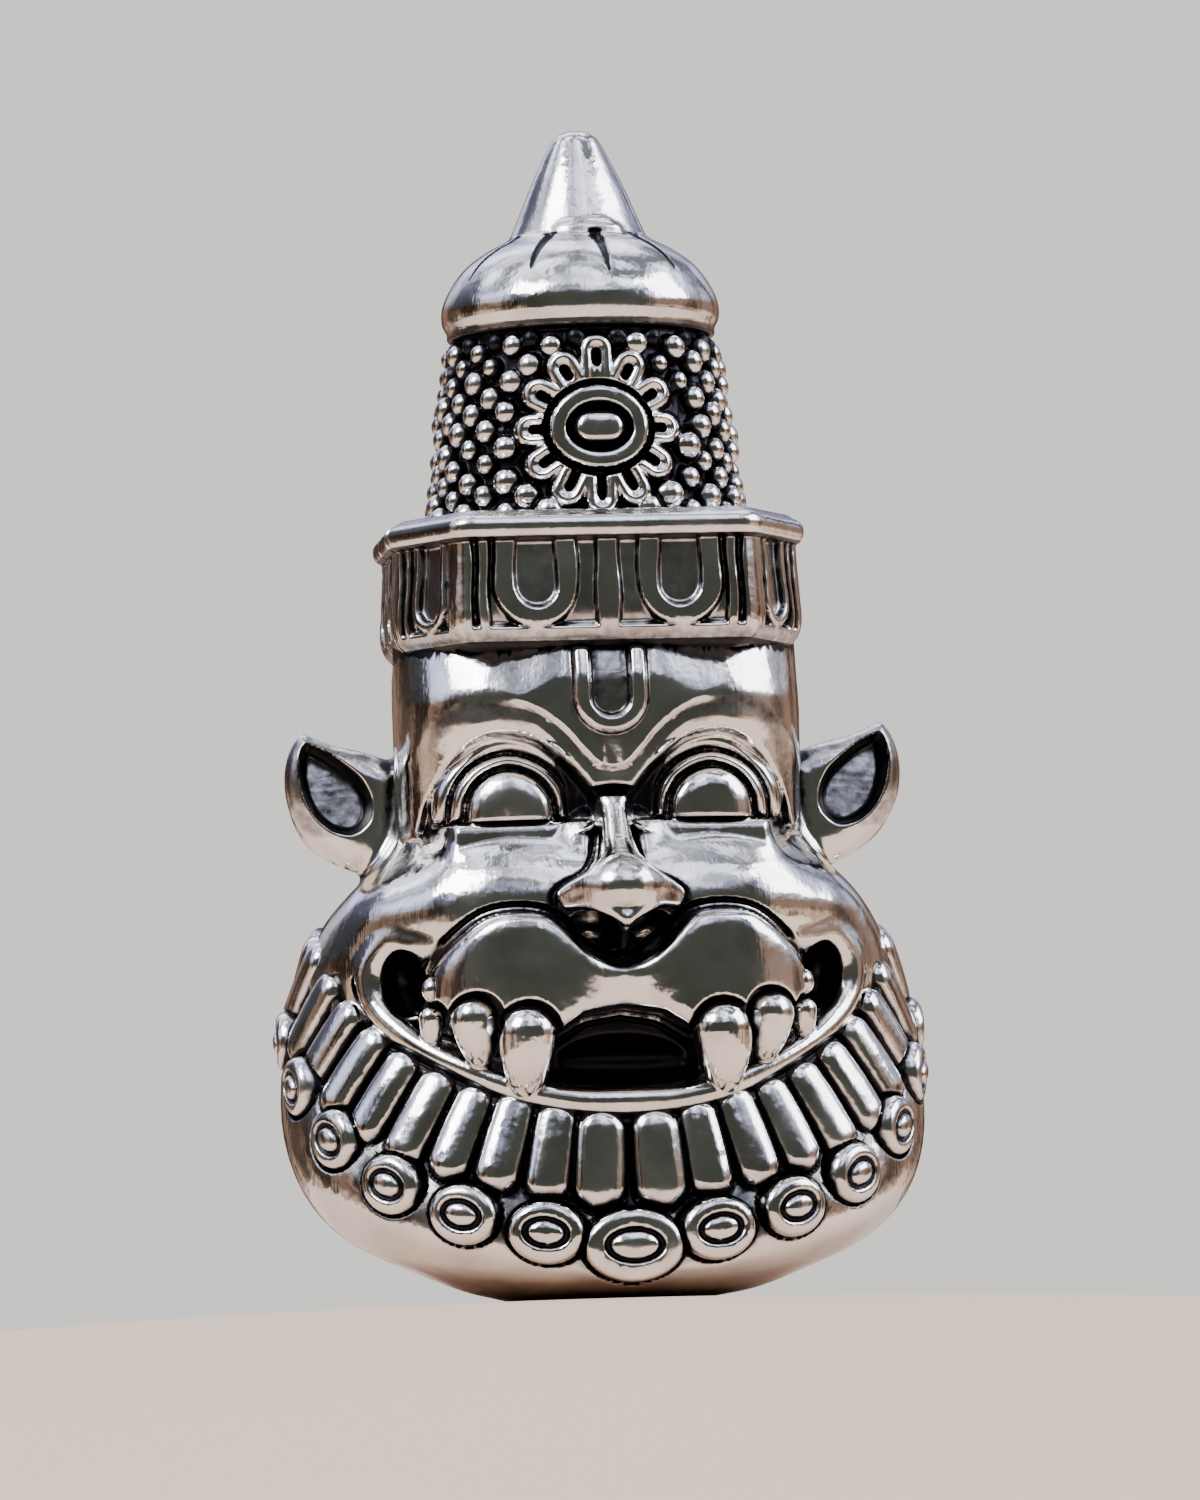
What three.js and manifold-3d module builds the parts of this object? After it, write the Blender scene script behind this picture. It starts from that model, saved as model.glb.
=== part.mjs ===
// A small cast silver head of Narasimha, the lion-faced deity: tall beaded crown, headband,
// lion face with pointed ears and fangs, and a garland collar over a smooth rounded underside.
// It is one casting, so every form is joined into one solid. Millimetres, +Z up, the face looks
// along -Y, and the figure is symmetric about X = 0. Local depths are measured from the crown's
// axis; the whole solid is moved at the end so that its box is centred over the origin.
import * as THREE from 'three';
import { mergeVertices } from 'three/addons/utils/BufferGeometryUtils.js';
import Module from 'manifold-3d';

const wasm = await Module();
wasm.setup();

// Driving dimensions
const TOTAL_HEIGHT = 40;
const COLLAR_HALF_WIDTH = 10.45;
const COLLAR_FRONT = 8.15;
const COLLAR_BACK = 7.8;
const BEAD_ROW_HEIGHT = 1.62;
const PETAL_ROW_HEIGHT = 4.3;
const BAND_BOTTOM = 22.3;
const BAND_TOP = 26.15;
const BAND_HALF_WIDTH = 6.75;
const BAND_FRONT = 6.15;
const CROWN_TOP = 32.9;
const RIM_TOP = 33.9;
const DOME_TOP = 36.35;
const CROWN_BASE_RADIUS = 5.35;
const CROWN_TOP_RADIUS = 4.4;
const RIM_RADIUS = 4.7;
const FINIAL_RADIUS = 2.3;
const FINIAL_NECK_RADIUS = 1.02;
const FINIAL_TIP_RADIUS = 0.55;

// Plan sections of the solid body, bottom to top: height in front, climb from there to the side,
// half width, depth in front, depth behind and squareness (2 is an ellipse, more is boxier).
// The shell's rings climb towards the nape, as the collar does, above a small flat spot.
const SHELL_RINGS = [
  { z: 0, climb: 0, side: 3.2, front: 4.2, back: 3.6, square: 2 },
  { z: 0.12, climb: 0.35, side: 4.9, front: 6.2, back: 4.8, square: 2 },
  { z: 0.4, climb: 0.95, side: 6.8, front: 7.3, back: 5.9, square: 2 },
  { z: 0.7, climb: 1.9, side: 9.1, front: 7.8, back: 6.9, square: 2 },
  { z: 1.0, climb: 3.2, side: 10.4, front: 7.95, back: 7.5, square: 2 },
  { z: 1.3, climb: 5.0, side: 10.95, front: 8.0, back: 7.9, square: 2 },
  { z: 2.0, climb: 7.0, side: 10.75, front: 7.9, back: 7.9, square: 2 },
  { z: 3.7, climb: 6.6, side: 10.1, front: 7.2, back: 7.5, square: 2 },
  { z: 5.9, climb: 5.4, side: 8.6, front: 6.3, back: 7.0, square: 2 },
  { z: 7.5, climb: 4.0, side: 5, front: 4, back: 5, square: 2 },
];
const HEAD_RINGS = [
  { z: 5.2, climb: 0, side: 6.2, front: 5.4, back: 5.8, square: 2 },
  { z: 8.0, climb: 0, side: 8.3, front: 5.9, back: 6.9, square: 2.1 },
  { z: 11.5, climb: 0, side: 8.9, front: 6.1, back: 7.3, square: 2.1 },
  { z: 14.0, climb: 0, side: 8.0, front: 5.7, back: 7.3, square: 2.2 },
  { z: 16.0, climb: 0, side: 6.95, front: 4.7, back: 7.1, square: 2.5 },
  { z: 18.2, climb: 0, side: 6.75, front: 5.0, back: 6.9, square: 2.8 },
  { z: 20.6, climb: 0, side: 6.8, front: 6.0, back: 6.7, square: 2.9 },
  { z: 22.7, climb: 0, side: 6.75, front: 5.5, back: 6.4, square: 2.9 },
];
const SHELL_SIDES = 24;
const HEAD_SIDES = 20;
const NAPE_CLIMB = 0.33;

const silver = new THREE.MeshStandardMaterial({ color: 0xc9c6c1, roughness: 0.22, metalness: 1.0 });

const mix = (a, b, t) => a + (b - a) * t;
const joined = (parts) => parts.reduce((sum, part) => sum.add(part));
const mirrored = (point) => [-point[0], ...point.slice(1)];
const bothSides = (make) => [make(1), make(-1)];
const onSide = (points, side) => points.map(([x, ...rest]) => [side * x, ...rest]);

// Solid from a closed geometry: only positions are kept, so that shared corners merge.
function solid(geometry) {
  const bare = new THREE.BufferGeometry();
  bare.setAttribute('position', geometry.getAttribute('position').clone());
  if (geometry.index) bare.setIndex(geometry.index.clone());
  const merged = mergeVertices(bare, 1e-4);
  return new wasm.Manifold(new wasm.Mesh({
    numProp: 3,
    vertProperties: new Float32Array(merged.getAttribute('position').array),
    triVerts: new Uint32Array(merged.index.array),
  }));
}

// Point of a section at an angle from the front, positive towards +X.
function planPoint(section, angle) {
  const s = Math.sin(angle);
  const c = Math.cos(angle);
  const power = 2 / section.square;
  const depth = c > 0 ? section.front : section.back;
  return [
    section.side * Math.sign(s) * Math.abs(s) ** power,
    -depth * Math.sign(c) * Math.abs(c) ** power,
  ];
}

// Height of a ring that climbs from its front to its side and on, less steeply, to the nape.
function ringHeight(front, climb, angle) {
  const behind = Math.abs(angle) - Math.PI / 2;
  if (behind < 0) return front + climb * (1 - Math.cos(angle));
  return front + climb * (1 + NAPE_CLIMB * Math.sin(behind));
}

// Closed block through a body's rings: a cylinder whose rings are carried onto the sections.
function block(rings, around, grow = 0) {
  const geometry = new THREE.CylinderGeometry(1, 1, 1, around, rings.length - 1);
  const position = geometry.getAttribute('position');
  for (let i = 0; i < position.count; i += 1) {
    const x = position.getX(i);
    const y = position.getZ(i);
    const ring = rings[Math.round((position.getY(i) + 0.5) * (rings.length - 1))];
    const { side, front, back, square } = ring;
    const section = { side: side + grow, front: front + grow, back: back + grow, square };
    const reach = Math.hypot(x, y);
    const angle = Math.atan2(x, y);
    const [px, py] = planPoint(section, angle);
    const middle = ringHeight(ring.z, ring.climb, Math.PI / 2);
    const edge = ringHeight(ring.z, ring.climb, angle);
    position.setXYZ(i, reach * px, reach * py, mix(middle, edge, reach));
  }
  return solid(geometry);
}

// Ellipsoid with its centre, half sizes, lean about Y and turn about Z in degrees. A side of -1
// gives its mirror image.
function ellipsoid({ centre, half, lean = 0, turn = 0, detail = 10 }, side = 1) {
  const geometry = new THREE.SphereGeometry(1, detail, Math.round(detail * 0.6));
  geometry.rotateX(Math.PI / 2);
  geometry.scale(...half);
  geometry.rotateY(THREE.MathUtils.degToRad(side * lean));
  geometry.rotateZ(THREE.MathUtils.degToRad(side * turn));
  geometry.translate(side * centre[0], centre[1], centre[2]);
  return solid(geometry);
}

// Rounded bar along a smooth curve through points, of elliptical section: half width across the
// curve's own plane and half height along +Z.
function roll({ points, halfWidth, halfHeight, steps, sides }, side = 1) {
  const route = onSide(points, side).map((point) => new THREE.Vector3(...point));
  const section = new THREE.Shape();
  for (let i = 0; i < sides; i += 1) {
    const angle = (2 * Math.PI * i) / sides;
    const at = [halfHeight * Math.cos(angle), halfWidth * Math.sin(angle)];
    if (i === 0) section.moveTo(...at);
    else section.lineTo(...at);
  }
  section.closePath();
  const extrudePath = new THREE.CatmullRomCurve3(route);
  return solid(new THREE.ExtrudeGeometry(section, { steps, bevelEnabled: false, extrudePath }));
}

// Prism of an outline drawn in the X-Z plane, running along Y between two depths.
function prism(outline, front, back) {
  const shape = new THREE.Shape(outline.map(([x, z]) => new THREE.Vector2(x, z)));
  const geometry = new THREE.ExtrudeGeometry(shape, { depth: back - front, bevelEnabled: false });
  geometry.rotateX(Math.PI / 2);
  geometry.translate(0, back, 0);
  return solid(geometry);
}

// Surface turned about a vertical axis from [radius, height] points, bottom to top.
function turnedGeometry(profile, around) {
  const points = profile.map(([r, z]) => new THREE.Vector2(r, z));
  const geometry = new THREE.LatheGeometry(points, around);
  geometry.rotateX(Math.PI / 2);
  return geometry;
}

const turned = (profile, around) => solid(turnedGeometry(profile, around));

// Crown: cone finial, domed cap with a rounded rim and nine radial grooves, and a studded drum
// whose staggered beads are raised corners of a fine grid.
const STUD_ROWS = 7;
const STUD_COLUMNS = 20;
const STUD_HEIGHT = 0.34;
const DRUM_FOOT = BAND_TOP - 0.6;
const CAP_SIDES = 16;
const FINIAL_SIDES = 12;
const CAP_GROOVES = 9;
const GROOVE = { radius: 0.11, length: 1.5, slope: 58, reach: FINIAL_RADIUS + 0.85, drop: 0.42, sides: 4 };

function studdedDrum() {
  const rings = 2 * STUD_ROWS;
  const around = 2 * STUD_COLUMNS;
  const geometry = new THREE.CylinderGeometry(1, 1, 1, around, rings);
  const position = geometry.getAttribute('position');
  for (let i = 0; i < position.count; i += 1) {
    const x = position.getX(i);
    const y = position.getZ(i);
    const angle = Math.atan2(x, y);
    const t = position.getY(i) + 0.5;
    const ring = Math.round(t * rings);
    const column = Math.round((angle / (2 * Math.PI) + 1) * around);
    const raised = ring > 0 && ring < rings && ring % 2 === 1 && (column + (ring - 1) / 2) % 2 === 0;
    const radius = mix(CROWN_BASE_RADIUS, CROWN_TOP_RADIUS, t) + (raised ? STUD_HEIGHT : 0);
    const reach = Math.hypot(x, y) * radius;
    const height = mix(DRUM_FOOT, CROWN_TOP, t);
    position.setXYZ(i, reach * Math.sin(angle), -reach * Math.cos(angle), height);
  }
  return solid(geometry);
}

function cap() {
  const dome = [
    [0, CROWN_TOP - 0.7], [CROWN_TOP_RADIUS - 0.2, CROWN_TOP - 0.45], [RIM_RADIUS - 0.12, CROWN_TOP - 0.2],
    [RIM_RADIUS, CROWN_TOP + 0.25], [RIM_RADIUS - 0.12, RIM_TOP - 0.15], [RIM_RADIUS - 0.75, RIM_TOP + 0.85],
    [RIM_RADIUS - 1.5, DOME_TOP - 0.65], [FINIAL_RADIUS, DOME_TOP - 0.1], [0, DOME_TOP],
  ];
  const finial = [
    [0, DOME_TOP - 0.6], [FINIAL_RADIUS, DOME_TOP - 0.15], [FINIAL_RADIUS - 0.08, DOME_TOP + 0.15],
    [FINIAL_NECK_RADIUS, TOTAL_HEIGHT - 0.75], [FINIAL_TIP_RADIUS + 0.15, TOTAL_HEIGHT - 0.18],
    [0, TOTAL_HEIGHT],
  ];
  const groove = (angle) => {
    const cut = new THREE.CylinderGeometry(GROOVE.radius, GROOVE.radius, GROOVE.length, GROOVE.sides);
    cut.rotateX(THREE.MathUtils.degToRad(GROOVE.slope));
    cut.translate(0, -GROOVE.reach, DOME_TOP - GROOVE.drop);
    cut.rotateZ(angle);
    return solid(cut);
  };
  let body = turned(dome, CAP_SIDES).add(turned(finial, FINIAL_SIDES));
  for (let i = 0; i < CAP_GROOVES; i += 1) {
    body = body.subtract(groove((2 * Math.PI * i) / CAP_GROOVES));
  }
  return body;
}

// Medallion on the crown's front: a boss, a raised oval ring and a wavy flower rim.
const MEDALLION = {
  height: 29.25,
  lobes: 13,
  ripple: 0.11,
  flower: { halfWidth: 2.65, halfHeight: 2.79, rise: 0.5, points: 39 },
  ring: { halfWidth: 1.68, halfHeight: 1.42, rise: 0.9, points: 22 },
  well: { halfWidth: 1.04, halfHeight: 0.85, rise: 0.35, points: 16 },
  boss: { centre: [0, -5.2, 29.25], half: [0.85, 0.6, 0.48], detail: 10 },
  front: -8,
  back: -2,
};

function medallion() {
  const { height, lobes, ripple, flower, ring, well, boss, front, back } = MEDALLION;
  const oval = ({ halfWidth, halfHeight, points }, wave = 0) => {
    const outline = Array.from({ length: points }, (_, i) => {
      const angle = (2 * Math.PI * i) / points;
      const reach = 1 + wave * Math.cos(lobes * angle);
      return [halfWidth * reach * Math.sin(angle), height + halfHeight * reach * Math.cos(angle)];
    });
    return prism(outline, front, back);
  };
  const wall = ({ rise }) => turned([
    [0, BAND_TOP - 0.3], [CROWN_BASE_RADIUS + rise, BAND_TOP - 0.3],
    [CROWN_TOP_RADIUS + rise, CROWN_TOP], [0, CROWN_TOP],
  ], 24);
  return wall(flower).intersect(oval(flower, ripple))
    .add(wall(ring).intersect(oval(ring)))
    .subtract(oval(well).subtract(wall(well)))
    .add(ellipsoid(boss));
}

// Headband: a faceted ring with rails above and below and raised bars and U shapes between.
const BAND_FACET = 4.9;
const BAND_PLAN = [
  [BAND_FACET, -BAND_FRONT], [BAND_HALF_WIDTH, -2.9], [BAND_HALF_WIDTH, 2.4], [BAND_FACET, 6.1],
];
const BAND_SLICES = {
  wall: { low: BAND_BOTTOM, high: BAND_TOP, growLow: 0.02, growHigh: -0.22 },
  rail: { low: BAND_TOP - 0.62, high: BAND_TOP - 0.02, growLow: 0, growHigh: -0.02 },
  lip: { low: BAND_BOTTOM, high: BAND_BOTTOM + 0.6, growLow: 0.26, growHigh: 0.24 },
  relief: { low: BAND_BOTTOM + 0.75, high: BAND_TOP - 0.75, growLow: 0.36, growHigh: 0.14 },
};
const BAND_FIGURES = {
  middleBar: { centre: 0, half: 0.42 },
  frontU: { centre: 2.3, half: 1.42, bar: 0.72, arcs: 5 },
  frontBar: { centre: 4.25, half: 0.24 },
  sideU: { centre: 0, half: 1.15, bar: 0.5, arcs: 4 },
  sideBar: { centre: 1.75, half: 0.24 },
  sidePanel: { turn: 60.3, shift: [1.35, -0.35] },
  front: -8,
  back: -4,
  sideBack: -5.2,
};

function bandSlice({ low, high, growLow, growHigh }) {
  const corners = [...BAND_PLAN, ...BAND_PLAN.slice().reverse().map(mirrored)];
  const shape = new THREE.Shape(corners.map(([x, y]) => new THREE.Vector2(x, y)));
  const geometry = new THREE.ExtrudeGeometry(shape, { depth: high - low, bevelEnabled: false });
  const position = geometry.getAttribute('position');
  for (let i = 0; i < position.count; i += 1) {
    const z = position.getZ(i);
    const grow = z > (high - low) / 2 ? growHigh : growLow;
    const x = position.getX(i) * (1 + grow / BAND_HALF_WIDTH);
    const y = position.getY(i) * (1 + grow / BAND_FRONT);
    position.setXYZ(i, x, y, z + low);
  }
  return solid(geometry);
}

// Outline of an upright U with a round foot, between a bottom and a top.
function horseshoe({ centre, half, bar, arcs }, bottom, top) {
  const arc = (radius) => Array.from({ length: arcs + 1 }, (_, i) => {
    const angle = Math.PI + (Math.PI * i) / arcs;
    return [centre + radius * Math.cos(angle), bottom + half + radius * Math.sin(angle)];
  });
  return [
    [centre - half, top], ...arc(half), [centre + half, top],
    [centre + half - bar, top], ...arc(half - bar).reverse(), [centre - half + bar, top],
  ];
}

// Outline of an upright bar between a bottom and a top.
const upright = ({ centre, half }, bottom, top) => [
  [centre - half, bottom], [centre + half, bottom], [centre + half, top], [centre - half, top],
];

const shifted = (figure, side) => ({ ...figure, centre: side * figure.centre });

function headband() {
  const { middleBar, frontU, frontBar, sideU, sideBar, sidePanel, front, back, sideBack } = BAND_FIGURES;
  const { low, high } = BAND_SLICES.relief;
  const frontFigures = [
    prism(upright(middleBar, low, high), front, back),
    ...bothSides((side) => prism(horseshoe(shifted(frontU, side), low + 0.05, high), front, back)),
    ...bothSides((side) => prism(upright(shifted(frontBar, side), low, high), front, back)),
  ];
  const sideFigures = joined([
    prism(horseshoe(sideU, low + 0.05, high), front, sideBack),
    ...bothSides((side) => prism(upright(shifted(sideBar, side), low, high), front, sideBack)),
  ]);
  const sidePanels = bothSides((side) => sideFigures
    .rotate([0, 0, side * sidePanel.turn])
    .translate([side * sidePanel.shift[0], sidePanel.shift[1], 0]));
  return joined([
    bandSlice(BAND_SLICES.wall),
    bandSlice(BAND_SLICES.rail),
    bandSlice(BAND_SLICES.lip),
    bandSlice(BAND_SLICES.relief).intersect(joined([...frontFigures, ...sidePanels])),
  ]);
}

// Face. Each form is an ellipsoid, a roll, a prism or a turned tooth at its place on the right
// half of the head, and its mirror image on the left half.
const MID_FACE = { centre: [0, -2.2, 12.9], half: [8.7, 4.7, 3.3], detail: 10 };
const CHIN = { centre: [0, -4.6, 6.6], half: [5.4, 2.9, 1.15], detail: 8 };
const JAW_CORNER = { centre: [7.1, 0.6, 10.9], half: [2.75, 4.3, 3.1], lean: 8, detail: 8 };
const BROW = {
  points: [
    [0.35, -6.05, 17.35], [1.5, -6.15, 17.95], [2.7, -5.95, 18.9], [4.1, -5.45, 19.15],
    [5.3, -4.75, 18.5], [6.1, -4.1, 17.3], [6.45, -3.75, 16.1],
  ],
  halfWidth: 0.5, halfHeight: 0.62, steps: 7, sides: 6,
};
const FOREHEAD_OUTLINE = [
  [0, 17.35], [0.75, 17.8], [1.45, 18.7], [2.4, 19.6], [3.4, 20.25], [4.3, 20.4], [5.4, 20.1], [6.9, 19.7],
  [6.9, 22.6],
];
const FOREHEAD = { rise: 0.32, sides: 14, front: -9, back: 0 };
const TILAK = { centre: 0, half: 1.25, bar: 0.62, arcs: 5, bottom: 18.85, top: 22.2, rise: 0.62, back: -3 };
const EYEBALL = { centre: [3.42, -3.9, 16.75], half: [1.45, 1.5, 0.95], turn: 8, detail: 8 };
const UPPER_LID = {
  points: [
    [5.9, -3.9, 16.15], [5.1, -4.75, 17.45], [3.9, -5.25, 18.0], [2.6, -5.35, 17.65], [1.65, -5.2, 16.7],
  ],
  halfWidth: 0.26, halfHeight: 0.24, steps: 7, sides: 5,
};
const LOWER_LID = {
  points: [[5.2, -3.8, 15.8], [3.6, -4.65, 15.5], [1.9, -4.75, 15.8]],
  halfWidth: 0.24, halfHeight: 0.2, steps: 4, sides: 5,
};
const NOSE_BRIDGE = {
  points: [[0, -6.0, 17.2], [0, -6.7, 15.9], [0, -7.6, 14.6], [0, -8.6, 13.4]],
  halfWidth: 0.62, halfHeight: 0.7, steps: 4, sides: 6,
};
const NOSE_TIP = { centre: [0, -8.35, 13.25], half: [0.95, 1.2, 0.85], detail: 8 };
const NOSE_WING = { centre: [1.15, -7.5, 13.25], half: [1.1, 1.05, 0.62], lean: 12, detail: 7 };
const MUZZLE_LOBE = { centre: [3.05, -4.7, 10.75], half: [3.45, 3.75, 2.3], lean: 9, turn: 18, detail: 9 };
const MUZZLE_SADDLE = { centre: [0, -5.4, 9.9], half: [2.2, 1.9, 1.1], detail: 8 };
const MOUTH = {
  outline: [[-2.45, 7.0], [2.45, 7.0], [2.55, 8.4], [1.3, 9.15], [-1.3, 9.15], [-2.55, 8.4]],
  front: -9,
  back: -5.3,
};
const MOUTH_CORNER = { centre: [7.1, -4.35, 10.6], half: [0.8, 1.3, 1.2], lean: 10, detail: 7 };
const LIP_RAIL = [
  [0, -7.35, 6.35], [1.7, -7.25, 6.45], [3.4, -6.75, 6.95], [5.3, -5.85, 7.75], [6.9, -4.7, 8.8],
  [8.0, -3.5, 10.2], [8.0, -3.2, 11.6], [7.0, -4.2, 12.3], [6.2, -5.0, 11.7],
];
const LIP_SECTION = { halfWidth: 0.5, halfHeight: 0.42, steps: 14, sides: 5 };
const TEETH = [
  { root: [3.2, -6.7, 8.85], radius: 0.98, length: 2.35, lean: -5, tilt: -4 },
  { root: [4.95, -5.75, 9.2], radius: 0.72, length: 1.75, lean: 8, tilt: 0 },
  { root: [6.1, -4.85, 9.9], radius: 0.52, length: 1.8, lean: 4, tilt: 0 },
];
const EAR_OUTLINE = [
  [6.2, 15.5], [7.6, 14.75], [8.9, 14.95], [9.95, 15.95], [10.6, 17.7], [10.15, 19.6], [8.6, 18.85],
  [6.2, 18.3],
];
const EAR = {
  middle: [8.9, 17.1],
  front: -0.55,
  back: 0.75,
  hollow: { scale: 0.7, front: -1.5, back: 0.35 },
  shell: { centre: [8.5, 0.75, 16.9], half: [1.9, 0.9, 1.75], lean: 35 },
};

// Tooth: a turned cone with a rounded root, hanging down, leaned and placed by its root.
function tooth({ root, radius, length, lean, tilt }, side) {
  const profile = [
    [0, -length], [radius * 0.72, -length * 0.6], [radius, -0.35], [radius * 0.75, 0.2], [0, 0.35],
  ];
  const geometry = turnedGeometry(profile, 6);
  geometry.rotateX(THREE.MathUtils.degToRad(tilt));
  geometry.rotateY(THREE.MathUtils.degToRad(side * lean));
  geometry.translate(side * root[0], root[1], root[2]);
  return solid(geometry);
}

function ear(side) {
  const [middleX, middleZ] = EAR.middle;
  const leaf = (scale, front, back) => {
    const outline = EAR_OUTLINE.map(([x, z]) => [
      side * mix(middleX, x, scale), mix(middleZ, z, scale),
    ]);
    return prism(side > 0 ? outline : outline.reverse(), front, back);
  };
  const { hollow, shell, front, back } = EAR;
  return leaf(1, front, back)
    .add(ellipsoid(shell, side))
    .subtract(leaf(hollow.scale, hollow.front, hollow.back));
}

function forehead() {
  const shield = [...FOREHEAD_OUTLINE, ...FOREHEAD_OUTLINE.slice(1).reverse().map(mirrored)];
  const { rise, sides, front, back } = FOREHEAD;
  return block(HEAD_RINGS, sides, rise).intersect(prism(shield, front, back))
    .add(block(HEAD_RINGS, sides, TILAK.rise)
      .intersect(prism(horseshoe(TILAK, TILAK.bottom, TILAK.top), front, TILAK.back)));
}

function face() {
  const lips = [...LIP_RAIL.slice(1, -1).reverse().map(mirrored), ...LIP_RAIL.slice(0, -1)];
  const paired = (make, form) => bothSides((side) => make(form, side));
  const base = joined([
    forehead(), ellipsoid(CHIN), ellipsoid(MID_FACE),
    ...paired(ellipsoid, JAW_CORNER),
    ...paired(roll, BROW),
    ...paired(ellipsoid, MUZZLE_LOBE), ellipsoid(MUZZLE_SADDLE),
    roll(NOSE_BRIDGE), ellipsoid(NOSE_TIP), ...paired(ellipsoid, NOSE_WING),
    roll({ points: lips, ...LIP_SECTION }),
  ]);
  return base
    .subtract(prism(MOUTH.outline, MOUTH.front, MOUTH.back))
    .subtract(joined(paired(ellipsoid, MOUTH_CORNER)))
    .add(joined([
      ...paired(ellipsoid, EYEBALL), ...paired(roll, UPPER_LID), ...paired(roll, LOWER_LID),
      ...TEETH.flatMap((form) => paired(tooth, form)), ...bothSides(ear),
    ]));
}

// Collar: a row of long petals under the jaw and a row of oval beads below them. Both rows
// climb from the chin to the nape in one sweep, and the nape itself has no petals.
const PETALS = {
  count: 38, bareNape: 5, climb: 6.4, half: 1.6, foot: 0.74, top: 0.66, flatness: 0.85, sides: 5,
  inset: { side: 0.85, front: 0.95, back: 0.55 }, nod: -20, lean: 0.62,
};
const BEADS = {
  count: 23, climb: 7.3, widest: 1.5, narrowest: 1.05, narrowBy: 0.9, halfHeight: 1.05, sides: 8,
  inset: { side: -0.2, front: -0.05, back: 0 }, nod: 6, lean: 0.55,
};

// Stands a form on its row of the collar: nods it, leans it along the climb and faces it outwards.
function seat(geometry, row, rowHeight, angle) {
  const plan = {
    side: COLLAR_HALF_WIDTH - row.inset.side,
    front: COLLAR_FRONT - row.inset.front,
    back: COLLAR_BACK - row.inset.back,
    square: 2,
  };
  const [x, y] = planPoint(plan, angle);
  geometry.rotateX(THREE.MathUtils.degToRad(row.nod));
  geometry.rotateY(-row.lean * Math.sin(angle));
  geometry.rotateZ(Math.atan2(x / plan.side ** 2, -y / plan.front ** 2));
  geometry.translate(x, y, ringHeight(rowHeight, row.climb, angle));
  return solid(geometry);
}

function petal(index) {
  const { count, half, foot, top, sides, flatness } = PETALS;
  const angle = (2 * Math.PI * (index + 0.5)) / count - Math.PI;
  const profile = [[0, -half], [foot, -0.8 * half], [top, 0.85 * half], [0, half]];
  const geometry = turnedGeometry(profile, sides);
  geometry.scale(1, flatness, 1);
  return seat(geometry, PETALS, PETAL_ROW_HEIGHT, angle);
}

function bead(index) {
  const { count, widest, narrowest, narrowBy, halfHeight, sides } = BEADS;
  const turn = (2 * Math.PI * index) / count;
  const angle = turn > Math.PI ? turn - 2 * Math.PI : turn;
  const profile = [[0, -0.8], [1, -0.75], [0.92, 0.3], [0, 0.62]];
  const geometry = turnedGeometry(profile, sides);
  geometry.rotateX(Math.PI / 2);
  geometry.scale(mix(widest, narrowest, Math.min(1, Math.abs(angle) / narrowBy)), 1, halfHeight);
  return seat(geometry, BEADS, BEAD_ROW_HEIGHT, angle);
}

function collar() {
  const { count, bareNape } = PETALS;
  const petals = Array.from({ length: count - 2 * bareNape }, (_, index) => petal(index + bareNape));
  const beads = Array.from({ length: BEADS.count }, (_, index) => bead(index));
  return joined([...petals, ...beads]);
}

// The whole casting, moved so that its box stands centred over the origin.
function casting() {
  const whole = joined([
    block(SHELL_RINGS, SHELL_SIDES),
    block(HEAD_RINGS, HEAD_SIDES),
    studdedDrum(), cap(), medallion(), headband(), face(), collar(),
  ]);
  const mesh = whole.getMesh();
  const geometry = new THREE.BufferGeometry();
  geometry.setAttribute('position', new THREE.BufferAttribute(new Float32Array(mesh.vertProperties), 3));
  geometry.setIndex(new THREE.BufferAttribute(new Uint32Array(mesh.triVerts), 1));
  geometry.computeBoundingBox();
  const { min, max } = geometry.boundingBox;
  geometry.translate(-(min.x + max.x) / 2, -(min.y + max.y) / 2, -min.z);
  geometry.computeVertexNormals();
  return new THREE.Mesh(geometry, silver);
}

const head = casting();
head.name = 'narasimha_head';

const group = new THREE.Group();
group.add(head);

export default group;
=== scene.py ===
"""Looks of a small cast silver head of Narasimha, the lion-faced deity.

The head is one casting. Its surface is modelled here as clay: a signed distance in millimetres on a
fine grid, below zero inside, to which forms are added, cut and embossed. Each region of the clay is
then meshed: crown, headband, face and collar, which meet in the casting's own dark grooves. Heights
are measured from the underside, depths from the crown's axis, and the face looks along -Y.
"""

import logging
import math
from dataclasses import dataclass, field
from enum import Enum

import bpy
import numpy as np
import openvdb
from mathutils import Matrix, Vector


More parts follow.
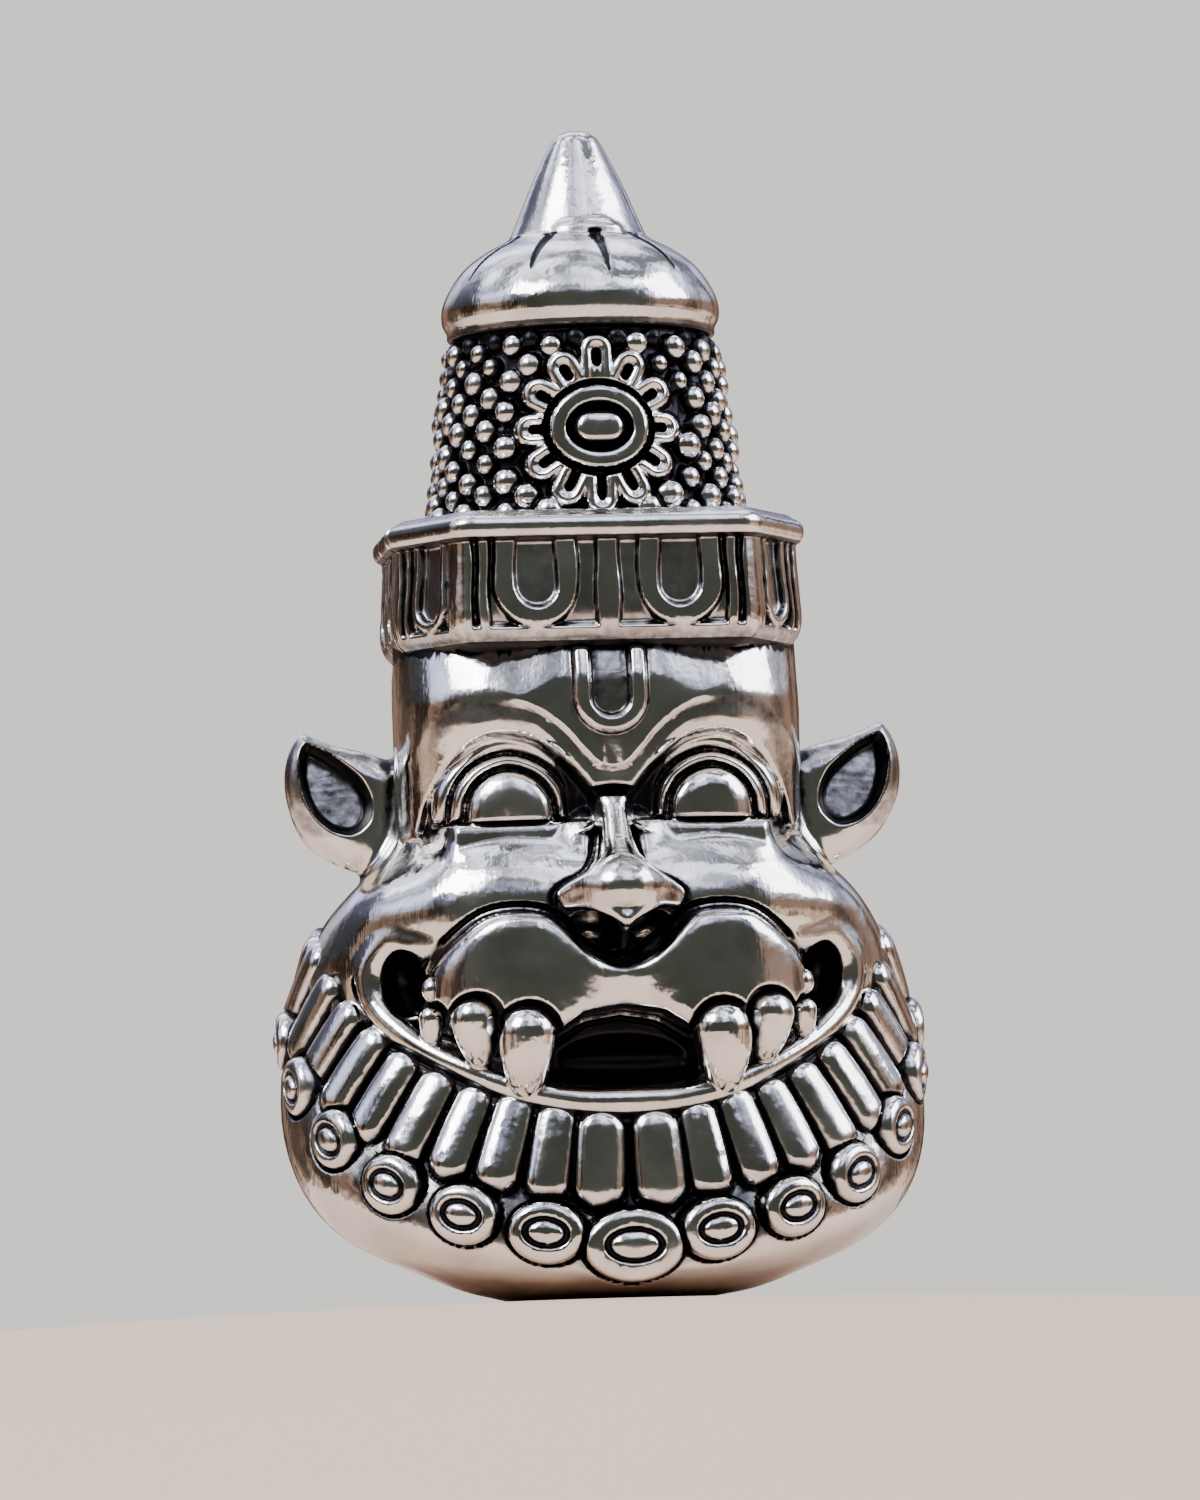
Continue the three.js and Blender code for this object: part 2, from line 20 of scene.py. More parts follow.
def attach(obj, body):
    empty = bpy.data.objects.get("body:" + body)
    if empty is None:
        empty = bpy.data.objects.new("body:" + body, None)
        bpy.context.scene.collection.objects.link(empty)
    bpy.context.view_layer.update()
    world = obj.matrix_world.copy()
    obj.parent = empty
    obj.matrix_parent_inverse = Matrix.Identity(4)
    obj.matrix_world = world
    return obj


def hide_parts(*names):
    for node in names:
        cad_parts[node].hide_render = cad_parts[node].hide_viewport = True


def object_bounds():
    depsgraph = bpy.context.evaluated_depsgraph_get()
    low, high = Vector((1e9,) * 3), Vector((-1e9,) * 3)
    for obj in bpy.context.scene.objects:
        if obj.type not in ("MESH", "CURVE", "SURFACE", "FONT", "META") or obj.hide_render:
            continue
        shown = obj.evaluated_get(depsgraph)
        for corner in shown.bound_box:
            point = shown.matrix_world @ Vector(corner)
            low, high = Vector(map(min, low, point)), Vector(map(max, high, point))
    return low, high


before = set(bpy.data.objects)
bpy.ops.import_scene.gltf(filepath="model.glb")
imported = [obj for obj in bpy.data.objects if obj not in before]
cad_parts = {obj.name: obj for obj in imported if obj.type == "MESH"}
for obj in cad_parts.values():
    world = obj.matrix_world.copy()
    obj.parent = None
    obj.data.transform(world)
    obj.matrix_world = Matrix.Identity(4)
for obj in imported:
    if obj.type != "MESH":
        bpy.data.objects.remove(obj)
CAD_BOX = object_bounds()

MM = 0.001
NODE = "narasimha_head"
BODY = "root"
# How far the nose's tip, the foremost point of the casting, stands before the crown's axis.
NOSE_REACH = 9.49
# Most triangles of a piece, and of a piece that shows only the plain back.
TRIANGLE_LIMIT = 196000
BACK_TRIANGLE_LIMIT = 90000
# How much deeper the back part of a block lies where it passes under the front part.
SEAM_STEP = 0.012
# Distance that stands for empty space, and depth that stands for no clay at all.
EMPTY = 9.0
NO_CLAY = -99.0
# Depth over which relief and paint on the front fade out.
FRONT_FADE = 0.8
# Depths in front of which relief and paint stay: on the face's front alone, or on its sides as well.
ON_FRONT = -2.6
ON_SIDES = 1.5
# Reaches over which the hollowness of the surface is felt.
CAVITY_REACHES = (0.12, 0.25, 0.5, 0.9)

Point = tuple[float, ...]
Array = np.ndarray
log = logging.getLogger("narasimha")


class Part(Enum):
    """Which part of a block of clay is meshed: all of it, or what lies before or behind its seam."""

    ALL = 0
    FRONT = 1
    BACK = 2


class Side(Enum):
    """Whether a block of clay holds the whole form or its right half, which is mirrored."""

    WHOLE = 0
    RIGHT_HALF = 1


def smooth_step(low: float, high: float, value: Array) -> Array:
    """Ramp from 0 at low to 1 at high without corners."""
    t = np.clip((value - low) / (high - low), 0.0, 1.0)
    return t * t * (3.0 - 2.0 * t)


def smooth_min(a: Array, b: Array, blend: float) -> Array:
    """Smaller of two distances, rounded over a fillet of width blend."""
    if blend <= 0.0:
        return np.minimum(a, b)
    h = np.maximum(blend - np.abs(a - b), 0.0) / blend
    return np.minimum(a, b) - h * h * (blend / 4.0)


def smooth_max(a: Array, b: Array, blend: float) -> Array:
    """Larger of two distances, rounded over an edge of width blend."""
    return -smooth_min(-a, -b, blend)


def rounded(t: Array, power: float = 2.0, root: float = 0.5) -> Array:
    """Rounded profile that falls from 1 where t is 0 to 0 where t is 1 or more."""
    return np.clip(1.0 - np.abs(t) ** power, 0.0, 1.0) ** root


def curve_through(points: list[Point], pieces: int = 6, closed: bool = False) -> Array:
    """Smooth curve through points.

    Args:
        points: corner points, all of one length, with any number of values each.
        pieces: steps between two points.
        closed: whether the curve runs back to its start.

    Returns:
        The points of the curve, one row each.
    """
    p = np.asarray(points, dtype=float)
    if closed:
        p = np.vstack([p[-1], p, p[0], p[1]])
    else:
        p = np.vstack([2 * p[0] - p[1], p, 2 * p[-1] - p[-2]])
    t = (np.arange(pieces) / pieces)[:, None]
    rows = []
    for a, b, c, d in zip(p[:-3], p[1:-2], p[2:-1], p[3:]):
        rows.append(0.5 * (2 * b + (c - a) * t + (2 * a - 5 * b + 4 * c - d) * t ** 2
                           + (3 * b - a - 3 * c + d) * t ** 3))
    if not closed:
        rows.append(p[-2][None, :])
    return np.vstack(rows)


def stroke_distance(u: Array, v: Array, line: Array, closed: bool = False) -> tuple[Array, Array]:
    """Distance from a drawn line in a plane, and how far along it the nearest point is.

    Args:
        u: first coordinate of each place.
        v: second coordinate of each place.
        line: points of the line, two values a row.
        closed: whether the line runs back to its start.

    Returns:
        The distances, and the places along the line from 0 to 1.
    """
    ends = np.vstack([line[1:], line[:1]]) if closed else line[1:]
    starts = line[:len(ends)]
    best = np.full(np.broadcast(u, v).shape, 1e9)
    along = np.zeros_like(best)
    for i, (a, b) in enumerate(zip(starts, ends)):
        du, dv = b - a
        t = np.clip(((u - a[0]) * du + (v - a[1]) * dv) / max(du * du + dv * dv, 1e-12), 0.0, 1.0)
        gap = np.hypot(u - a[0] - t * du, v - a[1] - t * dv)
        near = gap < best
        along[near] = ((i + t) / len(starts))[near]
        best = np.minimum(best, gap)
    return best, along


def outline_distance(u: Array, v: Array, line: Array) -> Array:
    """Signed distance from a closed outline in a plane, below zero inside it."""
    gap, _ = stroke_distance(u, v, line, closed=True)
    inside = np.zeros(gap.shape, dtype=bool)
    for a, b in zip(line, np.roll(line, -1, axis=0)):
        crosses = (a[1] > v) != (b[1] > v)
        rise = b[1] - a[1] if abs(b[1] - a[1]) > 1e-12 else 1e-12
        inside ^= crosses & (u < (b[0] - a[0]) * (v - a[1]) / rise + a[0])
    return np.where(inside, -gap, gap)


def own_axes(turn: float, lean: float, tilt: float = 0.0) -> Array:
    """Own axes, one a row, of what is tilted about X, leaned about Y and turned about Z, in radians."""
    turned = Matrix.Rotation(turn, 3, "Z") @ Matrix.Rotation(lean, 3, "Y") @ Matrix.Rotation(tilt, 3, "X")
    return np.array(turned).T


def along_axes(x: Array, y: Array, z: Array, centre: Point, axes: Array) -> list[Array]:
    """Coordinates of places from a centre, along each of three axes."""
    dx, dy, dz = x - centre[0], y - centre[1], z - centre[2]
    return [dx * row[0] + dy * row[1] + dz * row[2] for row in axes]


@dataclass
class Ball:
    """Ellipsoid of clay: centre, half sizes, and lean about Y then turn about Z in degrees."""

    centre: Point
    half: Point
    lean: float = 0.0
    turn: float = 0.0

    def box(self) -> tuple[Array, Array]:
        """Lowest and highest corners of a box around it."""
        centre, reach = np.array(self.centre), max(self.half)
        return centre - reach, centre + reach

    def distance(self, x: Array, y: Array, z: Array) -> Array:
        """Signed distance of places from its surface."""
        near = 0.0
        slope = 0.0
        axes = own_axes(math.radians(self.turn), math.radians(self.lean))
        for own, half in zip(along_axes(x, y, z, self.centre, axes), self.half):
            near = near + (own / half) ** 2
            slope = slope + (own / (half * half)) ** 2
        near = np.sqrt(near)
        return near * (near - 1.0) / np.sqrt(slope + 1e-9)


@dataclass
class Ground:
    """Space within a tapering round drum, such as the ground under raised beads."""

    base_radius: float
    top_radius: float
    base_height: float
    top_height: float

    def distance(self, x: Array, y: Array, z: Array) -> Array:
        """Signed distance of places from its wall, large above and below it."""
        t = (z - self.base_height) / (self.top_height - self.base_height)
        wall = np.hypot(x, y) - (self.base_radius + (self.top_radius - self.base_radius) * t)
        return np.maximum(wall, np.maximum(self.base_height - z, z - self.top_height))


@dataclass
class Roll:
    """Rounded bar of clay along a smooth curve, with a radius at each of its points."""

    points: list[Point]
    radii: list[float]
    pieces: int = 5
    reach: float = 1.2

    def route(self) -> Array:
        """Rows of x, y, z and radius along the curve."""
        return curve_through([(*p, r) for p, r in zip(self.points, self.radii)], self.pieces)

    def box(self) -> tuple[Array, Array]:
        """Lowest and highest corners of a box around it."""
        route = self.route()
        fat = route[:, 3].max()
        return route[:, :3].min(axis=0) - fat, route[:, :3].max(axis=0) + fat

    def distance(self, x: Array, y: Array, z: Array) -> Array:
        """Signed distance of places from its surface, where they are within its reach."""
        result = np.full(np.broadcast(x, y, z).shape, EMPTY, dtype=np.float32)
        route = self.route()
        lines = (x.ravel(), y.ravel(), z.ravel())
        for a, b in zip(route[:-1], route[1:]):
            room = max(a[3], b[3]) + self.reach
            low = np.minimum(a[:3], b[:3]) - room
            high = np.maximum(a[:3], b[:3]) + room
            cut = tuple(slice(*np.searchsorted(line, ends)) for line, ends in zip(lines, zip(low, high)))
            px, py, pz = x[cut[0]], y[:, cut[1]], z[:, :, cut[2]]
            if 0 in (px.size, py.size, pz.size):
                continue
            d = b[:3] - a[:3]
            dx, dy, dz = px - a[0], py - a[1], pz - a[2]
            t = np.clip((dx * d[0] + dy * d[1] + dz * d[2]) / max(float(d @ d), 1e-9), 0.0, 1.0)
            gap = np.sqrt((dx - t * d[0]) ** 2 + (dy - t * d[1]) ** 2 + (dz - t * d[2]) ** 2)
            result[cut] = np.minimum(result[cut], gap - (a[3] + t * (b[3] - a[3])))
        return result


@dataclass
class Clay:
    """Block of clay: signed distances in millimetres on a regular grid, below zero inside."""

    low: Point
    high: Point
    step: float
    side: Side = Side.WHOLE
    x: Array = field(init=False)
    y: Array = field(init=False)
    z: Array = field(init=False)
    depth: Array = field(init=False)
    dark_spaces: list = field(default_factory=list)
    tint: Array | None = None
    shine: Array | None = None
    seam: float = 1.5

    def __post_init__(self) -> None:
        """Lays out the grid, with nothing in it yet."""
        counts = [int(round((b - a) / self.step)) + 1 for a, b in zip(self.low, self.high)]
        lines = [a + self.step * np.arange(n) for a, n in zip(self.low, counts)]
        self.x = lines[0].astype(np.float32)[:, None, None]
        self.y = lines[1].astype(np.float32)[None, :, None]
        self.z = lines[2].astype(np.float32)[None, None, :]
        self.depth = np.full(counts, EMPTY, dtype=np.float32)

    def corner(self) -> Array:
        """Lowest corner of the grid."""
        return np.array([self.x[0, 0, 0], self.y[0, 0, 0], self.z[0, 0, 0]], dtype=float)

    def window(self, low: Point, high: Point) -> tuple[slice, slice, slice]:
        """Slices of the grid that cover a box."""
        lines = (self.x.ravel(), self.y.ravel(), self.z.ravel())
        return tuple(slice(*np.searchsorted(line, (a, b))) for line, a, b in zip(lines, low, high))

    def places(self, cut: tuple[slice, slice, slice]) -> tuple[Array, Array, Array]:
        """Coordinates of the grid's points in a window, ready to be combined."""
        return self.x[cut[0]], self.y[:, cut[1]], self.z[:, :, cut[2]]

    def pane(self, drawing: Array, cut: tuple[slice, slice, slice]) -> Array:
        """The part of a map over x and z that lies in a window, ready to be combined."""
        return drawing[cut[0], cut[2]][:, None, :]

    def around(self, shape: Ball | Roll, blend: float) -> tuple[slice, slice, slice]:
        """Window around a shape and the fillet beside it."""
        low, high = shape.box()
        room = blend + 0.5
        return self.window(low - room, high + room)

    def add(self, shape: Ball | Roll, blend: float = 0.0) -> None:
        """Joins a shape on with a fillet."""
        cut = self.around(shape, blend)
        if self.depth[cut].size:
            self.depth[cut] = smooth_min(self.depth[cut], shape.distance(*self.places(cut)), blend)

    def carve(self, shape: Ball | Roll, blend: float = 0.0) -> None:
        """Takes a shape away and rounds the edge."""
        cut = self.around(shape, blend)
        if self.depth[cut].size:
            self.depth[cut] = smooth_max(self.depth[cut], -shape.distance(*self.places(cut)), blend)

    def emboss(self, height: Array, behind: float = 0.0) -> None:
        """Raises the front by a map of heights over x and z, fading out behind a depth."""
        fade = smooth_step(behind, behind - FRONT_FADE, self.y)
        self.depth -= (height[:, None, :] * fade).astype(np.float32)

    def blacken(self, shape: "Ball | Ground", share: float = 1.0, soft: float = 0.3) -> None:
        """Marks a space as black: oxide never polished off, and in places painted shade.

        Args:
            shape: the space.
            share: how black it is, from 0 to 1.
            soft: width of the fading edge outside it, in millimetres.
        """
        self.dark_spaces.append((shape, share, soft))

    def paint(self, share: Array, cut: tuple[slice, slice, slice] = (slice(None),) * 3) -> None:
        """Marks the grid's points in a window as black by a share, where they aren't blacker yet."""
        if self.tint is None:
            self.tint = np.zeros_like(self.depth)
        self.tint[cut] = np.maximum(self.tint[cut], share)

    def paint_front(self, share: Array, behind: float = 0.0) -> None:
        """Marks the front as black by a map over x and z, fading out behind a depth."""
        self.paint(share[:, None, :] * smooth_step(behind, behind - FRONT_FADE, self.y))

    def polish_front(self, share: Array) -> None:
        """Marks where the hollows were polished brighter, by a map of shares over x and z."""
        self.shine = share if self.shine is None else np.maximum(self.shine, share)

    def paint_along(self, roll: Roll, share: float, soft: float) -> None:
        """Marks the space within a rolled bar as black, fading out over a soft edge."""
        cut = self.around(roll, soft)
        if self.depth[cut].size:
            self.paint(share * smooth_step(soft, 0.0, roll.distance(*self.places(cut))), cut)

    def blackness(self, place: Array, hollow: Array) -> Array:
        """Blackness of the surface.

        Args:
            place: places on it as rows of x, y and z.
            hollow: how hollow it is there, which the oxide follows.

        Returns:
            One share a row, from 0 to 1.
        """
        x = np.abs(place[:, 0]) if self.side is Side.RIGHT_HALF else place[:, 0]
        index = (np.column_stack([x, place[:, 1:]]) - self.corner()) / self.step
        total = hollow
        if self.shine is not None:
            shine = np.repeat(self.shine[:, None, :], 2, axis=1)
            total = hollow * (1.0 - sampled(shine, index * (1.0, 0.0, 1.0)))
        if self.tint is not None:
            total = np.maximum(total, sampled(self.tint, index))
        for shape, share, soft in self.dark_spaces:
            gap = shape.distance(x, place[:, 1], place[:, 2])
            total = np.maximum(total, share * smooth_step(soft, 0.0, gap))
        return total

    def front_depth(self) -> Array:
        """How far the clay stands before the crown's axis, over x and z, or NO_CLAY where there is none."""
        solid = self.depth < 0.0
        first = np.argmax(solid, axis=1)
        hit = np.take_along_axis(self.depth, first[:, None, :], axis=1)[:, 0, :]
        before = np.take_along_axis(self.depth, np.maximum(first - 1, 0)[:, None, :], axis=1)[:, 0, :]
        place = self.y[0, :, 0][first] - self.step * hit / np.minimum(hit - before, -1e-6)
        return np.where(solid.any(axis=1), -place, NO_CLAY)

    def front_plane(self) -> tuple[Array, Array]:
        """x and z of the grid as flat arrays that combine to a map."""
        return self.x[:, 0, :], self.z[0, :, :]

    def whole(self, part: Part = Part.ALL) -> tuple[Array, Array]:
        """The full grid or the part of it before or behind the seam, mirrored if need be.

        Args:
            part: the part; the back one starts two steps before the seam and lies a hair deeper there.

        Returns:
            The signed distances and their lowest corner.
        """
        corner = self.corner()
        depth = self.depth
        if part is Part.FRONT:
            depth = np.maximum(depth, self.y - self.seam)
        elif part is Part.BACK:
            depth = np.maximum(depth + SEAM_STEP, self.seam - 2.0 * self.step - self.y)
        if self.side is Side.WHOLE:
            return depth, corner
        corner[0] = -float(self.x[-1, 0, 0])
        return np.concatenate([depth[:0:-1], depth], axis=0), corner


def sampled(grid: Array, index: Array) -> Array:
    """Values of a grid between its points.

    Args:
        grid: three-dimensional values.
        index: places in grid steps, three values a row.

    Returns:
        One value a row.
    """
    top = np.array(grid.shape) - 1.001
    place = np.clip(index, 0.0, top)
    base = place.astype(int)
    part = place - base
    total = np.zeros(len(place))
    for corner in range(8):
        offset = np.array([(corner >> 2) & 1, (corner >> 1) & 1, corner & 1])
        weight = np.prod(np.where(offset, part, 1.0 - part), axis=1)
        total += weight * grid[tuple((base + offset).T)]
    return total


def slopes(grid: Array, index: Array) -> Array:
    """Direction in which the values grow fastest at places in a grid, of unit length."""
    rows = []
    for axis in range(3):
        ahead = index.copy()
        back = index.copy()
        ahead[:, axis] += 0.75
        back[:, axis] -= 0.75
        rows.append(sampled(grid, ahead) - sampled(grid, back))
    slope = np.stack(rows, axis=1)
    return slope / np.maximum(np.linalg.norm(slope, axis=1, keepdims=True), 1e-9)


@dataclass
class Caster:
    """Turns clay into a finished Blender piece of the casting."""

    axis_depth: float

    def mesh(self, name: str, clay: Clay, material: bpy.types.Material, part: Part) -> bpy.types.Object:
        """Meshes a block of clay.

        Args:
            name: the piece's name.
            clay: the modelled block.
            material: the finish it is dressed in.
            part: the part of the block that is meshed.

        Returns:
            The piece, in metres, with smooth normals and a cavity attribute.
        """
        grid, corner = clay.whole(part)
        vdb = openvdb.FloatGrid(background=EMPTY)
        vdb.copyFromArray(grid)
        points, quads = vdb.convertToQuads(isovalue=0.0)
        data = bpy.data.meshes.new(name)
        data.vertices.add(len(points))
        data.vertices.foreach_set("co", points.astype(np.float32).ravel())
        data.loops.add(quads.size)
        data.loops.foreach_set("vertex_index", quads.astype(np.int32).ravel())
        data.polygons.add(len(quads))
        data.polygons.foreach_set("loop_start", np.arange(0, quads.size, 4, dtype=np.int32))
        data.polygons.foreach_set("loop_total", np.full(len(quads), 4, dtype=np.int32))
        data.update(calc_edges=True)
        data.validate()
        piece = put(name, data)
        self.thin(piece, BACK_TRIANGLE_LIMIT if part is Part.BACK else TRIANGLE_LIMIT)
        self.settle(piece, grid, corner, clay)
        data.materials.append(material)
        return piece

    def thin(self, piece: bpy.types.Object, limit: int) -> None:
        """Brings a piece under a limit of triangles, keeping its form."""
        triangles = sum(len(face.vertices) - 2 for face in piece.data.polygons)
        select_only(piece)
        if triangles > limit:
            fewer = piece.modifiers.new("fewer", "DECIMATE")
            fewer.ratio = limit / triangles
            bpy.ops.object.modifier_apply(modifier=fewer.name)

    def settle(self, piece: bpy.types.Object, grid: Array, corner: Array, clay: Clay) -> None:
        """Pulls the points onto the clay's surface and stores normals and the cavity attribute."""
        data = piece.data
        step = clay.step
        count = len(data.vertices)
        flat = np.empty(count * 3, dtype=np.float32)
        data.vertices.foreach_get("co", flat)
        index = flat.reshape(-1, 3).astype(float)
        for _ in range(2):
            pull = np.clip(sampled(grid, index) / step, -0.5, 0.5)
            index -= slopes(grid, index) * pull[:, None]
        normal = slopes(grid, index)
        hollow = np.zeros(count)
        for reach in CAVITY_REACHES:
            ahead = sampled(grid, index + normal * (reach / step))
            hollow += np.clip(1.0 - ahead / reach, 0.0, 1.0) / len(CAVITY_REACHES)
        place = corner + index * step
        # The share now also holds the marks painted on the clay, painted shade among them.
        hollow = clay.blackness(place, hollow)
        place[:, 1] += self.axis_depth
        data.vertices.foreach_set("co", (place * MM).astype(np.float32).ravel())
        data.update()
        data.shade_smooth()
        data.normals_split_custom_set_from_vertices(normal.astype(np.float32))
        cavity = data.attributes.new("cavity", "FLOAT", "POINT")
        cavity.data.foreach_set("value", hollow.astype(np.float32))


def put(name: str, data: bpy.types.ID) -> bpy.types.Object:
    """Puts a mesh, a light or a camera into the scene."""
    made = bpy.data.objects.new(name, data)
    bpy.context.scene.collection.objects.link(made)
    return made


def select_only(piece: bpy.types.Object) -> None:
    """Leaves one object selected and active."""
    bpy.ops.object.select_all(action="DESELECT")
    piece.select_set(True)
    bpy.context.view_layer.objects.active = piece


@dataclass
class Graph:
    """Nodes of one material or world."""

    tree: bpy.types.NodeTree

    def feed(self, socket: bpy.types.NodeSocket, value: object) -> None:
        """Wires a node's output to an input, or sets the input to a plain value."""
        if isinstance(value, bpy.types.NodeSocket):
            self.tree.links.new(value, socket)
        else:
            socket.default_value = value

    def node(self, kind: str, inputs: dict | None = None, **settings: object) -> bpy.types.Node:
        """Adds a node.

        Args:
            kind: its kind, without the word ShaderNode.
            inputs: what each of its inputs gets, a value or another node's output.
            settings: its own settings.

        Returns:
            The node.
        """
        made = self.tree.nodes.new("ShaderNode" + kind)
        for name, value in settings.items():
            setattr(made, name, value)
        for name, value in (inputs or {}).items():
            self.feed(made.inputs[name], value)
        return made

    def noise(self, place: bpy.types.NodeSocket, scale: float, detail: float,
              distortion: float = 0.0) -> bpy.types.NodeSocket:
        """Cloudy pattern at a scale."""
        inputs = {"Vector": place, "Scale": scale, "Detail": detail, "Distortion": distortion}
        return self.node("TexNoise", inputs).outputs["Fac"]

    def spread(self, value: bpy.types.NodeSocket, low: float, high: float, to_low: float = 0.0,
               to_high: float = 1.0) -> bpy.types.NodeSocket:
        """Maps a value from one range to another, clamped."""
        inputs = {"Value": value, "From Min": low, "From Max": high, "To Min": to_low, "To Max": to_high}
        return self.node("MapRange", inputs).outputs["Result"]

    def reckon(self, kind: str, a: bpy.types.NodeSocket,
               b: bpy.types.NodeSocket | float) -> bpy.types.NodeSocket:
        """Combines two values."""
        return self.node("Math", {0: a, 1: b}, operation=kind).outputs[0]

    def blend(self, share: bpy.types.NodeSocket, a: Point | bpy.types.NodeSocket,
              b: Point | bpy.types.NodeSocket) -> bpy.types.NodeSocket:
        """Mixes two colours by a share."""
        return self.node("Mix", {"Factor": share, "A": a, "B": b}, data_type="RGBA").outputs["Result"]


@dataclass(frozen=True)
class SilverFinish:
    """Polished cast silver with black oxide left in its recesses, and the same black laid on as painted shade
    where the clay is marked for it.
    """

    bright: Point = (0.90, 0.885, 0.865, 1.0)
    worn: Point = (0.70, 0.67, 0.64, 1.0)
    # Black of the oxide, also used for painted shade.
    oxide_and_shade: Point = (0.022, 0.021, 0.026, 1.0)
    oxide_and_shade_from: float = 0.15
    oxide_and_shade_full: float = 0.42
    ragged: float = 0.06
    polish: float = 0.08
    scuff: float = 0.22
    tarnish_roughness: float = 0.34
    ripple_scale: float = 620.0
    scratch_scale: float = 8000.0
    dimple_scale: float = 2100.0
    pit_scale: float = 1500.0
    relief: float = 0.018
    wave_share: float = 3.2
    dimple_share: float = 0.60
    scratch_share: float = 0.30
    pit_share: float = 0.6
    scratch_length: Point = (1.0, 1.0, 0.07)
    scratch_turn: Point = (0.5, 0.9, 0.3)

    def material(self) -> bpy.types.Material:
        """Builds the node material."""
        made = bpy.data.materials.new("polished_silver")
        made.use_nodes = True
        graph = Graph(made.node_tree)
        place = graph.node("TexCoord").outputs["Object"]
        cavity = graph.node("Attribute", attribute_name="cavity").outputs["Fac"]
        speckle = graph.noise(place, self.pit_scale * 2.0, 5.0)
        edge = graph.spread(speckle, 0.3, 0.7, -self.ragged, self.ragged)
        # Share of black: oxide in the hollows, plus the painted shade marked on the clay.
        oxide_and_shade = graph.spread(graph.reckon("ADD", cavity, edge), self.oxide_and_shade_from, self.oxide_and_shade_full)
        cloud = graph.spread(graph.noise(place, self.ripple_scale, 3.0), 0.45, 0.75)
        worn = graph.noise(place, self.ripple_scale * 0.7, 4.0)
        dull = graph.spread(worn, 0.35, 0.75, self.polish, self.scuff)
        rough = graph.node("Mix", {"Factor": oxide_and_shade, "A": dull, "B": self.tarnish_roughness})
        height = self.height(graph, place)
        bump = graph.node("Bump", {"Height": height, "Strength": 1.0, "Distance": self.relief * MM})
        shader = made.node_tree.nodes["Principled BSDF"]
        for name, value in {
            "Metallic": 1.0,
            "Base Color": graph.blend(oxide_and_shade, graph.blend(cloud, self.bright, self.worn), self.oxide_and_shade),
            "Roughness": rough.outputs["Result"],
            "Normal": bump.outputs["Normal"],
        }.items():
            graph.feed(shader.inputs[name], value)
        return made

    def height(self, graph: Graph, place: bpy.types.NodeSocket) -> bpy.types.NodeSocket:
        """Fine relief of the polished casting: waves, dimples, scratches and rare casting pits."""
        turned = {"Vector": place, "Scale": self.scratch_length, "Rotation": self.scratch_turn}
        scratch = graph.noise(graph.node("Mapping", turned).outputs["Vector"], self.scratch_scale, 2.0)
        cells = graph.node("TexVoronoi", {"Vector": place, "Scale": self.pit_scale * 0.6})
        pit = graph.spread(cells.outputs["Distance"], 0.05, 0.16)
        rare = graph.spread(graph.noise(place, self.ripple_scale * 0.5, 2.0), 0.52, 0.62)
        total = graph.reckon("MULTIPLY", graph.noise(place, self.ripple_scale, 3.0), self.wave_share)
        for value, share in (
            (graph.noise(place, self.dimple_scale, 2.0), self.dimple_share),
            (scratch, self.scratch_share),
            (graph.reckon("MULTIPLY", graph.reckon("SUBTRACT", pit, 1.0), rare), self.pit_share),
        ):
            total = graph.reckon("ADD", total, graph.reckon("MULTIPLY", value, share))
        return total


